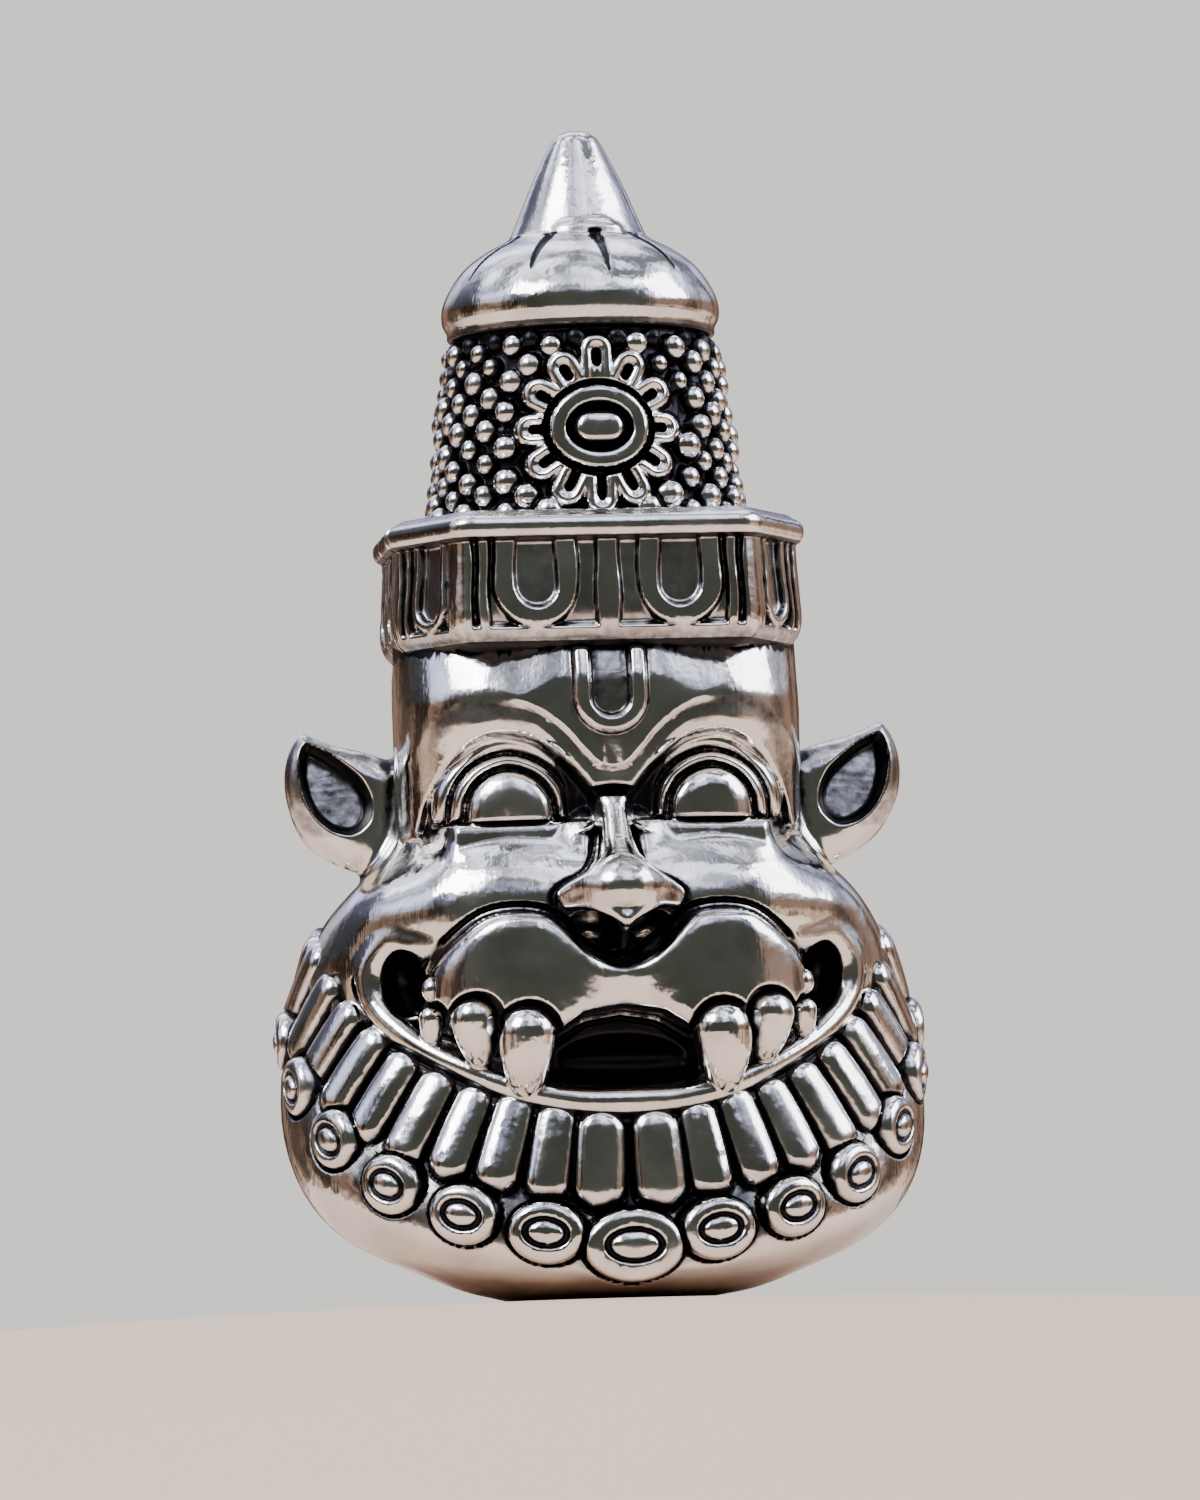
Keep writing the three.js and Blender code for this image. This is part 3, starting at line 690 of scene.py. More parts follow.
@dataclass
class Crown:
    """Tall crown: beaded drum, domed cap with radial grooves, cone finial and a flower medallion."""

    step: float = 0.07
    reach: float = 6.3
    foot_height: float = 25.2
    drum_base: float = 5.22
    drum_top: float = 4.42
    base_height: float = 26.2
    top_height: float = 32.7
    ground: float = 0.22
    drum_end: float = 33.2
    columns: int = 38
    first_row: float = 26.5
    pitch: float = 1.13
    bead: float = 0.475
    rim_row: float = 32.42
    rim_bead: float = 0.34
    fillers: int = 260
    filler: float = 0.23
    filler_rows: Point = (26.3, 6.1)
    cap_grooves: int = 10
    groove_turn: float = 0.13
    groove_radii: Point = (2.5, 2.75, 3.2, 3.7)
    groove_widths: Point = (0.10, 0.17, 0.14, 0.11, 0.02)
    crease_widths: Point = (0.03, 0.09, 0.03)
    crease_radius: float = 2.47
    crease_height: float = 36.22
    medallion_height: float = 29.28
    clearing: Point = (2.85, 3.1)
    lobes: int = 12
    lobe: float = 0.36
    wire: float = 0.27
    ring: Point = (1.41, 1.14)
    moat: Point = (1.83, 1.58)
    ring_width: float = 0.34
    boss: float = 0.60
    boss_reach: float = 0.32
    clay: Clay = field(init=False)

    CAP = [
        (3.9, 32.75), (4.52, 32.82), (4.58, 33.1), (4.73, 33.42), (4.74, 33.85), (4.6, 34.3), (4.25, 34.9),
        (3.8, 35.4), (3.2, 35.82), (2.75, 36.05), (2.42, 36.25), (2.26, 36.5), (1.58, 38.1), (1.0, 39.3),
        (0.72, 39.75), (0.4, 39.95),
    ]

    def drum_radius(self, z: Array | float) -> Array | float:
        """Radius of the drum's ground, under the beads."""
        t = (z - self.base_height) / (self.top_height - self.base_height)
        return self.drum_base + (self.drum_top - self.drum_base) * t - self.ground

    def turned(self, profile: list[Point]) -> None:
        """Joins on a body turned about the crown's axis.

        Args:
            profile: radius and height of each corner, from the axis up to the axis.
        """
        radius = np.hypot(self.clay.x, self.clay.y)
        radii = np.arange(0.0, float(radius.max()) + self.step, self.step)
        flat = outline_distance(radii[:, None], self.clay.z[0], np.asarray(profile, dtype=float))
        index = radius / self.step
        low = np.minimum(index.astype(int), len(radii) - 2)[:, :, 0]
        part = (index[:, :, 0] - low)[:, :, None]
        body = flat[low] * (1.0 - part) + flat[low + 1] * part
        self.clay.depth = np.minimum(self.clay.depth, body.astype(np.float32))

    def sculpt(self) -> None:
        """Builds the crown's clay."""
        low, high = (-self.reach, -self.reach, self.foot_height - 0.4), (self.reach, self.reach, 40.4)
        self.clay = Clay(low, high, self.step)
        foot, end = self.foot_height, self.drum_end
        self.turned([(0.0, foot), (self.drum_radius(foot), foot), (self.drum_radius(end), end), (0.0, end)])
        heights = (self.base_height - 0.6, self.top_height + 0.2)
        # Black round the beads' feet: oxide in the sunk ground, and painted shade carried up the lower part
        # of each bead.
        self.clay.blacken(Ground(self.drum_base + 0.04, self.drum_top + 0.04, *heights), 0.95, 0.20)
        self.beads()
        self.cap()
        self.medallion()

    def bead_at(self, turn: float, z: float, size: float, proud: float) -> None:
        """Adds one bead to the drum, unless the medallion covers its place."""
        radius = self.drum_radius(z) + proud
        place = (radius * math.sin(turn), -radius * math.cos(turn), z)
        near = math.hypot(place[0] / self.clearing[0], (z - self.medallion_height) / self.clearing[1])
        if place[1] > 0 or near > 1.0:
            self.clay.add(Ball(place, (size, size, size)), 0.05)

    def beads(self) -> None:
        """Staggered beads, a little uneven, with small ones between and a low row under the rim."""
        draw = np.random.default_rng(7)
        for _ in range(self.fillers):
            turn, share, size = draw.uniform(0.0, 2 * math.pi), draw.uniform(0.0, 1.0), draw.uniform(0.7, 1.2)
            self.bead_at(turn, self.filler_rows[0] + self.filler_rows[1] * share, self.filler * size, 0.0)
        for column in range(self.columns):
            angle = 2 * math.pi * column / self.columns
            for row in range(6 if column % 2 == 0 else 5):
                jitter = draw.uniform(-1.0, 1.0, 4)
                z = self.first_row + self.pitch * (row + 0.5 * (column % 2)) + 0.09 * jitter[0]
                size = self.bead * (1.0 + 0.14 * jitter[1]) * (1.04 - 0.022 * (z - 26.0))
                self.bead_at(angle + 0.022 * jitter[2], z, size, 0.13 + 0.05 * jitter[3])
            if column % 2:
                self.bead_at(angle + 0.03 * draw.uniform(-1.0, 1.0), self.rim_row, self.rim_bead, 0.05)

    def cap(self) -> None:
        """Domed cap with a hollowed rim, its grooves, and the finial on a soft ledge."""
        dome = curve_through(self.CAP, 5)
        self.turned([(0.0, 32.4), (3.6, 32.4), *map(tuple, dome), (0.0, 40.0)])
        self.clay.add(Ball((0.15, -2.05, 36.35), (1.1, 0.42, 0.32)), 0.25)
        crest = dome[(dome[:, 1] > 34.0) & (dome[:, 1] < 36.2)]
        for i in range(self.cap_grooves):
            turn = 2 * math.pi * i / self.cap_grooves + self.groove_turn
            radii = np.array([*self.groove_radii, 4.3 if i % 2 else 4.42])
            heights = np.interp(-radii, -crest[:, 0], crest[:, 1])
            points = [(r * math.sin(turn), -r * math.cos(turn), z + 0.02) for r, z in zip(radii, heights)]
            widths = [(1.2 if i == 0 else 1.0) * width for width in self.groove_widths]
            self.clay.carve(Roll(points, widths), 0.05)
            self.clay.paint_along(Roll(points, [0.95 * width for width in self.groove_widths]), 0.95, 0.06)
            turns = [turn + aside for aside in (-0.09, 0.0, 0.09)]
            radius, height = self.crease_radius, self.crease_height
            crease = [(radius * math.sin(a), -radius * math.cos(a), height) for a in turns]
            self.clay.carve(Roll(crease, list(self.crease_widths)), 0.05)
            self.clay.paint_along(Roll(crease, list(self.crease_widths)), 0.9, 0.06)

    def medallion(self) -> None:
        """Flower medallion on the front: boss, oval ring, and a wire that loops round each lobe."""
        clay = self.clay
        cut = clay.window((-3.6, -6.4, 25.6), (3.6, -2.6, 33.0))
        x, y, z = clay.places(cut)
        ground = np.hypot(x, y) - self.drum_radius(z)
        u, v = x[:, 0, :], z[0] - self.medallion_height
        reach = np.hypot(u / 2.95, v / 3.2)
        loops = np.full(reach.shape, EMPTY)
        slots = np.full(reach.shape, EMPTY)
        for lobe in range(self.lobes):
            turn = 2 * math.pi * lobe / self.lobes
            far = 2.66 if lobe == 0 else 2.42
            line = np.array([(r * 0.94 * math.sin(turn), r * math.cos(turn)) for r in (1.2, far)])
            loops = np.minimum(loops, stroke_distance(u, v, line)[0] - self.lobe)
            start = 0.84 if abs(turn - math.pi) > 2 else 0.66
            slots = np.minimum(slots, stroke_distance(u, v, np.outer((start, 0.97), line[1]))[0])
        petal = 0.40 * smooth_step(0.02, -0.1, loops) * smooth_step(0.05, 0.15, slots)
        height = np.maximum(0.50 * rounded(loops / self.wire), petal)
        height = height * smooth_step(0.98, 1.04, np.hypot(u / self.moat[0], v / self.moat[1]))
        turns = np.linspace(0, 2 * math.pi, 40)[:-1]
        oval = np.column_stack([self.ring[0] * np.sin(turns), self.ring[1] * np.cos(turns)])
        ring, _ = stroke_distance(u, v, oval, closed=True)
        bar, _ = stroke_distance(u, v, np.array([(-self.boss_reach, 0.0), (self.boss_reach, 0.0)]))
        height = np.maximum(height, 0.70 * rounded(ring / self.ring_width, 6))
        height = np.maximum(height, 0.74 * rounded(bar / self.boss, 5))
        inside = smooth_step(1.0, 0.97, reach)[:, None, :] > 0
        raised = np.minimum(clay.depth[cut], ground - height[:, None, :])
        clay.depth[cut] = np.where(inside, raised, clay.depth[cut])


@dataclass
class Headband:
    """Faceted headband with rails and a frieze of bars and U shapes."""

    step: float = 0.075
    bottom: float = 21.98
    top: float = 26.2
    facet: float = 4.9
    front: float = 6.15
    side: float = 6.75
    shoulder: float = 2.9
    hip: float = 2.4
    back: float = 6.1
    corner: float = 0.7
    lip: float = 1.3
    rail: float = 0.30
    rail_height: float = 25.83
    rail_half: float = 0.42
    crest: float = 0.24
    wander: float = 0.035
    frieze_low: float = 22.42
    frieze_high: float = 25.38
    dull: float = 0.25
    clay: Clay = field(init=False)

    def plan(self) -> Array:
        """Corners of the band's eight-sided plan."""
        facet, side = self.facet, self.side
        right = [(facet, -self.front), (side, -self.shoulder), (side, self.hip), (facet, self.back)]
        return np.array([*right, *[(-x, y) for x, y in reversed(right)]])

    def frieze(self, u: Array, z: Array, wide: bool) -> Array:
        """Height of the frieze over its sunk ground.

        Args:
            u: place along a facet from its middle.
            z: height on the band.
            wide: whether this is the broad front facet.

        Returns:
            Share of the height, from 0 on the ground to 1 on the flat tops of the bars.
        """
        soft = 0.055
        u = u + self.wander * np.sin(2.3 * z + 1.7 * u)

        def bar(centre: float, half: float) -> Array:
            """Upright bar with soft edges."""
            return smooth_step(soft, -soft, np.abs(u - centre) - half)

        def horseshoe(centre: float, half: float, width: float) -> Array:
            """U shape with a round foot."""
            run = np.hypot(u - centre, np.minimum(z - self.frieze_low - half, 0.0))
            return smooth_step(soft, -soft, np.abs(run - (half - width / 2)) - width / 2)

        if wide:
            shapes = [bar(0.0, 0.40)]
            for sign in (-1.0, 1.0):
                shapes += [horseshoe(sign * 2.43, 1.40, 0.72), bar(sign * 4.2, 0.19), bar(sign * 5.05, 0.48)]
        else:
            shapes = [horseshoe(0.0, 0.95, 0.38)]
            for sign in (-1.0, 1.0):
                shapes += [bar(sign * 1.27, 0.14), bar(sign * 1.9, 0.3)]
        shapes += [smooth_step(self.frieze_low + 0.22, self.frieze_low - 0.02, z)]
        shapes += [smooth_step(self.frieze_high - 0.03, self.frieze_high + 0.06, z)]
        return np.maximum.reduce(np.broadcast_arrays(*shapes))

    def sculpt(self) -> None:
        """Builds the headband's clay."""
        self.clay = Clay((0.0, -7.3, 20.9), (7.6, 7.3, 26.9), self.step, Side.RIGHT_HALF)
        clay = self.clay
        u, v, z = clay.x[:, :, 0], clay.y[:, :, 0], clay.z
        flat = outline_distance(u, v, self.plan() * (1.0 - self.corner / 6.5)) - self.corner
        rail = self.rail * rounded((z - self.rail_height) / self.rail_half)
        wall = flat[:, :, None] + 0.12 - rail - 0.16 * smooth_step(25.5, 22.3, z)
        body = smooth_max(smooth_max(wall, z - self.top, 0.5), self.bottom - z, self.lip)
        clay.depth = np.minimum(clay.depth, body.astype(np.float32))
        self.dress_facets()
        # Painted shade: the underside of the band's lip is painted black, standing in for the shadow in the
        # gap over the forehead.
        clay.paint(0.95 * smooth_step(self.bottom + 0.06, self.bottom - 0.02, z))

    def dress_facets(self) -> None:
        """Raises the frieze on the front, the slanting facets and the sides; the back stays plain."""
        clay = self.clay
        z = clay.z
        slant = math.atan2(self.front - self.shoulder, self.side - self.facet)
        middle = ((self.facet + self.side) / 2, (-self.front - self.shoulder) / 2)
        along = (clay.x - middle[0]) * math.cos(slant) + (clay.y - middle[1]) * math.sin(slant)
        front = (np.abs(clay.x) < 5.3) & (clay.y < -5.0)
        aside = (clay.x > 5.0) & (clay.y < -2.7) & (clay.y > -6.5) & (np.abs(along) < 2.1) & ~front
        self.raise_frieze(front, self.frieze(clay.x, z, True))
        self.raise_frieze(aside, self.frieze(along, z, False))
        flank = (clay.x > 5.9) & (clay.y >= -2.7) & (clay.y < 2.3)
        for centre in (-1.3, 1.3):
            part = flank & (np.abs(clay.y - centre) < 1.25)
            self.raise_frieze(part, self.frieze((clay.y - centre) * 1.5, z, False))

    def raise_frieze(self, part: Array, raised: Array) -> None:
        """Raises the frieze within a part of the band and blackens its outlines and dulls its ground."""
        clay = self.clay
        clay.depth -= np.where(part, self.crest * raised, 0.0).astype(np.float32)
        edge = np.clip(6.0 * raised * (1.0 - raised), 0.0, 1.0)
        within = smooth_step(self.frieze_low, self.frieze_low + 0.3, clay.z)
        share = np.maximum(self.dull * (1.0 - raised), 0.62 * edge * within)
        share = np.maximum(share, 0.7 * smooth_step(0.09, 0.03, np.abs(clay.z - self.frieze_high - 0.05)))
        clay.paint(np.where(part, share, 0.0).astype(np.float32))


@dataclass
class Face:
    """Lion face: forehead, brows, eyes, nose, muzzle with fangs, jaw, ears and the plain back.

    Outlines on the front are corners of x and height, for the right half, which is mirrored.
    """

    step: float = 0.072
    top: float = 22.6
    front_half: float = 6.95
    lid_height: float = 15.98
    clay: Clay = field(init=False)

    # Rings of the head: height, side, front, back, and how square the plan is.
    RINGS = [
        (4.6, 5.6, 5.0, 5.4, 2.0), (6.5, 7.2, 5.5, 6.3, 2.0), (8.5, 8.4, 5.9, 6.9, 2.1),
        (11.5, 8.9, 6.0, 7.3, 2.1), (14.0, 8.0, 5.4, 7.3, 2.2), (15.9, 7.0, 4.4, 7.1, 2.5),
        (17.6, 6.7, 4.3, 6.95, 2.8), (19.0, 6.68, 4.5, 6.85, 2.9), (20.4, 6.7, 4.9, 6.7, 2.9),
        (21.6, 6.6, 4.9, 6.5, 2.9), (22.7, 6.4, 4.7, 6.2, 2.9),
    ]
    SHIELD = [
        (0.0, 17.72), (0.45, 17.85), (0.95, 18.35), (1.52, 19.02), (2.32, 19.65), (3.45, 20.2), (4.1, 20.35),
        (4.84, 20.35), (5.6, 20.0), (6.3, 19.3), (6.8, 18.2),
    ]
    SOCKET = [
        (0.45, 16.75), (1.01, 17.5), (1.79, 18.3), (2.58, 18.85), (3.55, 19.05), (4.49, 18.85), (5.31, 18.2),
        (5.8, 17.5), (6.15, 16.7), (6.38, 15.85),
    ]
    EYEBALL = [
        (1.92, 16.0), (2.05, 16.85), (2.57, 17.5), (3.42, 17.8), (4.25, 17.54), (4.76, 16.9), (4.9, 16.0),
    ]
    LIP_RAIL = [
        (0.0, -7.45, 6.5), (1.7, -7.35, 6.55), (3.4, -6.85, 6.95), (5.3, -5.95, 7.75), (6.9, -4.8, 8.75),
        (7.95, -3.7, 10.0), (8.1, -3.5, 11.2), (7.4, -4.0, 12.1), (6.7, -4.6, 12.0), (6.1, -5.0, 11.9),
    ]
    LIP_RADII = [0.36, 0.36, 0.36, 0.37, 0.42, 0.48, 0.5, 0.45, 0.4, 0.35]
    JAW_ROLL = [
        (0.0, -7.2, 6.1), (1.5, -7.0, 6.15), (3.4, -6.3, 6.5), (5.4, -5.2, 7.3), (7.2, -3.8, 8.4),
        (8.6, -2.0, 9.9), (9.2, -0.4, 11.2),
    ]
    JAW_LINE = [
        (-0.5, 5.9), (0.26, 5.9), (2.16, 6.08), (4.03, 6.58), (5.67, 7.45), (6.97, 8.25), (7.96, 8.85),
        (8.57, 9.45), (9.05, 10.12), (9.22, 11.02),
    ]
    NOSE_LINE = [
        (0.5, 16.5), (0.62, 15.6), (0.78, 14.8), (1.15, 14.2), (1.75, 13.85), (2.2, 13.45), (2.15, 12.95),
    ]
    MUZZLE_RIM = [
        (-0.6, 11.4), (0.0, 11.28), (0.55, 11.42), (1.3, 11.98), (1.98, 12.6), (2.6, 12.95), (3.66, 13.05),
        (4.6, 12.85), (5.4, 12.3), (6.1, 11.6), (6.55, 10.9),
    ]
    MUZZLE_FOOT = [(6.6, 9.9), (5.8, 9.0), (4.0, 8.3), (2.3, 8.55), (1.2, 9.2), (0.0, 9.4), (-0.6, 9.4)]
    EAR = [
        (6.3, 18.2), (7.14, 18.67), (7.85, 18.92), (8.7, 19.12), (9.4, 19.38), (9.98, 19.56), (10.45, 18.85),
        (10.62, 17.85), (10.45, 16.85), (9.9, 16.0), (9.2, 15.35), (8.4, 14.75), (6.6, 14.6),
    ]
    EAR_HOLLOW = [
        (9.85, 19.12), (9.05, 18.82), (8.35, 18.28), (7.9, 17.8), (7.62, 17.1), (7.72, 16.45), (8.25, 16.0),
        (8.95, 16.08), (9.6, 16.6), (9.98, 17.4), (10.1, 18.3),
    ]

    def block(self) -> None:
        """Main mass of the head, lofted through its plan rings."""
        clay = self.clay
        dense = curve_through(self.RINGS, 8)
        order = np.argsort(dense[:, 0])
        z = clay.z.ravel()
        side, front, back, square = (np.interp(z, dense[order, 0], dense[order, i]) for i in range(1, 5))
        deep = np.where(clay.y < 0, front, back)
        radius = np.hypot(clay.x, clay.y) + 1e-6
        near = (np.abs(clay.x / side) ** square + np.abs(clay.y / deep) ** square) ** (1.0 / square)
        body = radius * (1.0 - 1.0 / np.maximum(near, 0.05))
        body = np.maximum(body, self.RINGS[0][0] - clay.z)
        body = np.maximum(body, clay.z - self.top)
        clay.depth = np.minimum(clay.depth, body.astype(np.float32))

    def sculpt(self) -> None:
        """Builds the face's clay, mirrored about the middle."""
        self.clay = Clay((0.0, -10.0, 4.2), (11.4, 8.2, 22.9), self.step, Side.RIGHT_HALF)
        self.block()
        self.cheeks()
        self.brow()
        self.eye()
        self.nose()
        self.muzzle()
        self.jaw()
        self.teeth()
        self.ear()

    def cheeks(self) -> None:
        """Broad smooth masses of the middle of the face and the jaw's back corners."""
        clay = self.clay
        clay.add(Ball((0.0, -2.2, 12.9), (8.6, 4.7, 3.2)), 1.2)
        clay.add(Ball((2.9, -4.2, 13.0), (3.5, 2.3, 2.5), lean=-8.0), 0.9)
        clay.add(Ball((7.0, 0.4, 11.0), (2.9, 4.3, 3.1), lean=8.0), 1.2)
        clay.add(Ball((0.85, -4.95, 15.3), (0.75, 0.8, 1.15)), 0.5)
        clay.add(Ball((7.9, 1.4, 9.9), (2.0, 3.2, 2.3)), 0.9)

    def forehead_depth(self, x: Array, z: Array) -> Array:
        """How far the forehead stands in front of the crown's axis; it leans back under the headband."""
        across = rounded(x / self.front_half, 2.9, 1.0 / 2.9)
        above = z - 20.75 + 0.6 * smooth_step(1.5, 3.2, np.abs(x))
        return 6.1 * across - 0.18 * (above + np.sqrt(above ** 2 + 0.06))

    def brow(self) -> None:
        """Forehead shield, crisp edged beside the nose and soft outside, sloping brow and eye socket."""
        clay = self.clay
        x, z = clay.front_plane()
        above = [(8.5, 18.0), (8.5, 24.0), (0.0, 24.0), (-1.0, 24.0), (-1.0, 17.45)]
        shield = outline_distance(x, z, np.vstack([curve_through(self.SHIELD, 6), above]))
        below = [(6.3, 15.4), (4.5, 15.2), (2.0, 15.2), (0.6, 15.9)]
        socket = outline_distance(x, z, np.vstack([curve_through(self.SOCKET, 6), below]))
        soft = 0.75 * smooth_step(2.3, 4.4, x)
        edge = smooth_step(0.0, 1.0, (shield + 0.02 + 0.3 * soft) / (0.09 + soft))
        outer = 0.14 + 0.20 * smooth_step(1.0, 3.0, x) + 0.80 * smooth_step(4.0, 6.2, x)
        breadth = outer - np.maximum(socket, -0.1)
        slope = 0.19 * (breadth + np.sqrt(breadth ** 2 + 0.006))
        reach = self.forehead_depth(x, z) - (0.14 - 0.10 * soft) * edge
        reach = reach - slope * smooth_step(0.0, 0.3, shield) - 0.02 * smooth_step(0.1, 0.5, shield)
        reach = reach - 0.95 * smooth_step(0.06, -0.30, socket)
        cut = clay.window((-0.1, -9.0, 15.3), (7.2, 0.0, 22.9))
        _, py, pz = clay.places(cut)
        mass = np.maximum(-py - clay.pane(reach, cut), np.maximum(py + 1.0, 15.6 - pz))
        clay.depth[cut] = smooth_min(clay.depth[cut], mass, 0.1)
        beyond = outline_distance(x, z, curve_through(self.EYEBALL, 5))
        inner = smooth_step(2.2, 1.5, x) * smooth_step(0.4, 0.75, beyond)
        lidless = np.maximum(smooth_step(1.22, 1.42, beyond), inner) * smooth_step(15.9, 16.3, z)
        arch = smooth_step(0.05, 0.3, shield) * smooth_step(1.15, 0.6, shield)
        arch = arch * smooth_step(-0.1, 0.4, socket)
        line = smooth_step(0.08, 0.02, np.abs(shield - 0.13)) * smooth_step(3.6, 2.6, x)
        # Painted shade: the eye socket beyond the lid ridges, and towards the nose, is painted black.
        clay.paint_front(0.85 * smooth_step(0.05, -0.2, socket) * lidless, ON_FRONT)
        clay.paint_front(0.34 * arch * smooth_step(2.0, 3.2, x) * smooth_step(6.4, 5.6, x), ON_FRONT)
        clay.paint_front(0.42 * line, ON_FRONT)
        # Painted shade: the top of the forehead, in the gap under the headband's lip, is painted black.
        clay.paint_front(0.95 * smooth_step(21.76, 21.86, z), 2.0)
        self.tilak(x, z)

    def tilak(self, x: Array, z: Array) -> None:
        """U mark on the forehead with a dark sunk ground inside it."""
        half, width, foot = 1.24, 0.60, 18.86
        run = np.hypot(x, np.minimum(z - (foot + half), 0.0))
        leg = np.abs(run - (half - width / 2))
        top = smooth_step(22.0, 21.7, z + 2.5 * np.maximum(leg - 0.08, 0.0) ** 2)
        mark = 0.26 * rounded(leg / (width / 2), 4) * top
        inner = smooth_step(half - width + 0.04, half - width - 0.06, run)
        self.clay.emboss(mark - 0.10 * inner, ON_FRONT)
        outline = smooth_step(0.10, 0.02, np.abs(leg - width / 2 - 0.03))
        self.clay.paint_front(np.maximum(0.30 * inner, 0.5 * outline * smooth_step(22.1, 21.8, z)), ON_FRONT)

    def eye(self) -> None:
        """Bulging eyeball with a flat foot, two lid ridges round it and a bright lower lid."""
        clay = self.clay
        clay.add(Ball((3.55, -3.75, 16.85), (2.35, 1.2, 1.6), turn=14.0), 0.25)
        x, z = clay.front_plane()
        beyond = outline_distance(x, z, curve_through(self.EYEBALL, 5))
        foot = [(4.9, 14.0), (1.92, 14.0)]
        dome = outline_distance(x, z, np.vstack([curve_through(self.EYEBALL, 5), foot]))
        inset = np.clip(-dome / 1.15, 0.0, 1.0)
        ball = 4.75 - 0.18 * (x - 3.42) + 0.82 * rounded(1.0 - inset, 2.4, 1.0 / 2.4)
        ball = np.where(beyond < 0.0, ball, -EMPTY)
        cut = clay.window((1.5, -6.6, 15.9), (5.4, -3.0, 18.1))
        _, py, _ = clay.places(cut)
        mass = np.maximum(-py - clay.pane(ball, cut), np.maximum(py + 3.4, clay.pane(beyond, cut)))
        clay.depth[cut] = smooth_min(clay.depth[cut], mass, 0.03)
        above = smooth_step(15.95, 16.2, z) * smooth_step(1.25, 1.8, x) * smooth_step(6.6, 5.9, x)
        lids = 0.36 * rounded((beyond - 0.31) / 0.22) + 0.30 * rounded((beyond - 0.88) / 0.31)
        around = 0.22 * smooth_step(0.11, 0.02, np.abs(beyond))
        between = 0.12 * smooth_step(0.12, 0.0, np.abs(beyond - 0.56))
        clay.emboss((lids - around - between) * above, ON_FRONT)
        self.lower_lid()
        line = smooth_step(0.07, 0.02, np.abs(z - 15.97)) * smooth_step(0.05, -0.1, beyond)
        # The soft dark patch at the eye's inner corner is painted shade.
        corner = np.exp(-((x - 1.25) / 0.45) ** 2 - ((z - 15.8) / 0.6) ** 2)
        clay.paint_front(np.maximum(0.8 * line, 0.28 * corner), ON_FRONT)
        clay.polish_front(0.55 * smooth_step(1.4, 1.1, beyond) * smooth_step(15.9, 16.1, z))
        clay.polish_front(0.9 * smooth_step(0.75, 0.5, np.abs(z - 15.3)) * smooth_step(1.2, 1.7, x))
        clay.carve(Ball((0.0, -6.1, 16.95), (0.85, 0.75, 0.20)), 0.12)
        clay.blacken(Ball((0.0, -5.7, 16.93), (0.85, 0.6, 0.16)), 0.9, 0.12)

    def lower_lid(self) -> None:
        """Lower lid: a ledge under the eyeball, an upright strip below it, then the sloping cheek."""
        clay = self.clay
        x, z = clay.front_plane()
        front = clay.front_depth()
        drop = np.maximum(self.lid_height - z, 0.0)
        lid = smooth_step(1.5, 2.3, x) * smooth_step(5.9, 5.1, x)
        lean = drop - 0.75 * lid
        ledge = 5.18 - 0.17 * (x - 3.4) + 0.34 * lid * (1.0 - np.exp(-drop / 0.13))
        ledge = ledge + 0.22 * (lean + np.sqrt(lean ** 2 + 0.01))
        share = smooth_step(0.55, 1.1, x) * smooth_step(6.1, 5.2, x) * smooth_step(14.4, 15.0, z) * (z < 16.0)
        target = front - 0.06 + share * (smooth_max(front, ledge, 0.5) - front + 0.06)
        cut = clay.window((0.5, -8.0, 14.3), (6.8, -2.0, 16.0))
        _, py, _ = clay.places(cut)
        slab = np.maximum(-py - clay.pane(target, cut), py + 3.2)
        clay.depth[cut] = smooth_min(clay.depth[cut], slab, 0.12)

    def nose(self) -> None:
        """Narrow bridge that flares into a round tip with wings over deep nostrils."""
        clay = self.clay
        clay.add(Roll([(0.0, -5.75, 16.3), (0.0, -6.4, 15.5), (0.0, -7.15, 14.7), (0.0, -7.9, 14.0)],
                      [0.44, 0.50, 0.64, 0.85]), 0.3)
        clay.add(Roll([(0.25, -8.1, 13.65), (0.9, -7.9, 13.65), (1.5, -7.5, 13.5), (1.8, -7.3, 13.4)],
                      [0.78, 0.62, 0.46, 0.4]), 0.35)
        clay.add(Ball((0.0, -8.25, 13.5), (1.15, 1.1, 0.88)), 0.6)
        clay.carve(Ball((0.85, -7.6, 12.15), (1.05, 2.1, 0.72), lean=-20.0), 0.06)
        clay.add(Roll([(0.0, -9.0, 12.45), (0.55, -8.75, 12.78), (1.15, -8.2, 13.02), (1.75, -7.55, 13.0)],
                      [0.2, 0.2, 0.19, 0.17]), 0.35)
        clay.add(Roll([(0.0, -8.9, 12.5), (0.0, -8.0, 12.0), (0.0, -7.3, 11.4)], [0.22, 0.2, 0.22]), 0.15)
        x, z = clay.front_plane()
        edge, _ = stroke_distance(x, z, curve_through(self.NOSE_LINE, 5))
        clay.emboss(-0.14 * smooth_step(0.13, 0.02, edge), -3.5)
        clay.blacken(Ball((0.8, -7.3, 12.0), (1.1, 1.7, 0.75), lean=-20.0), 1.0, 0.12)

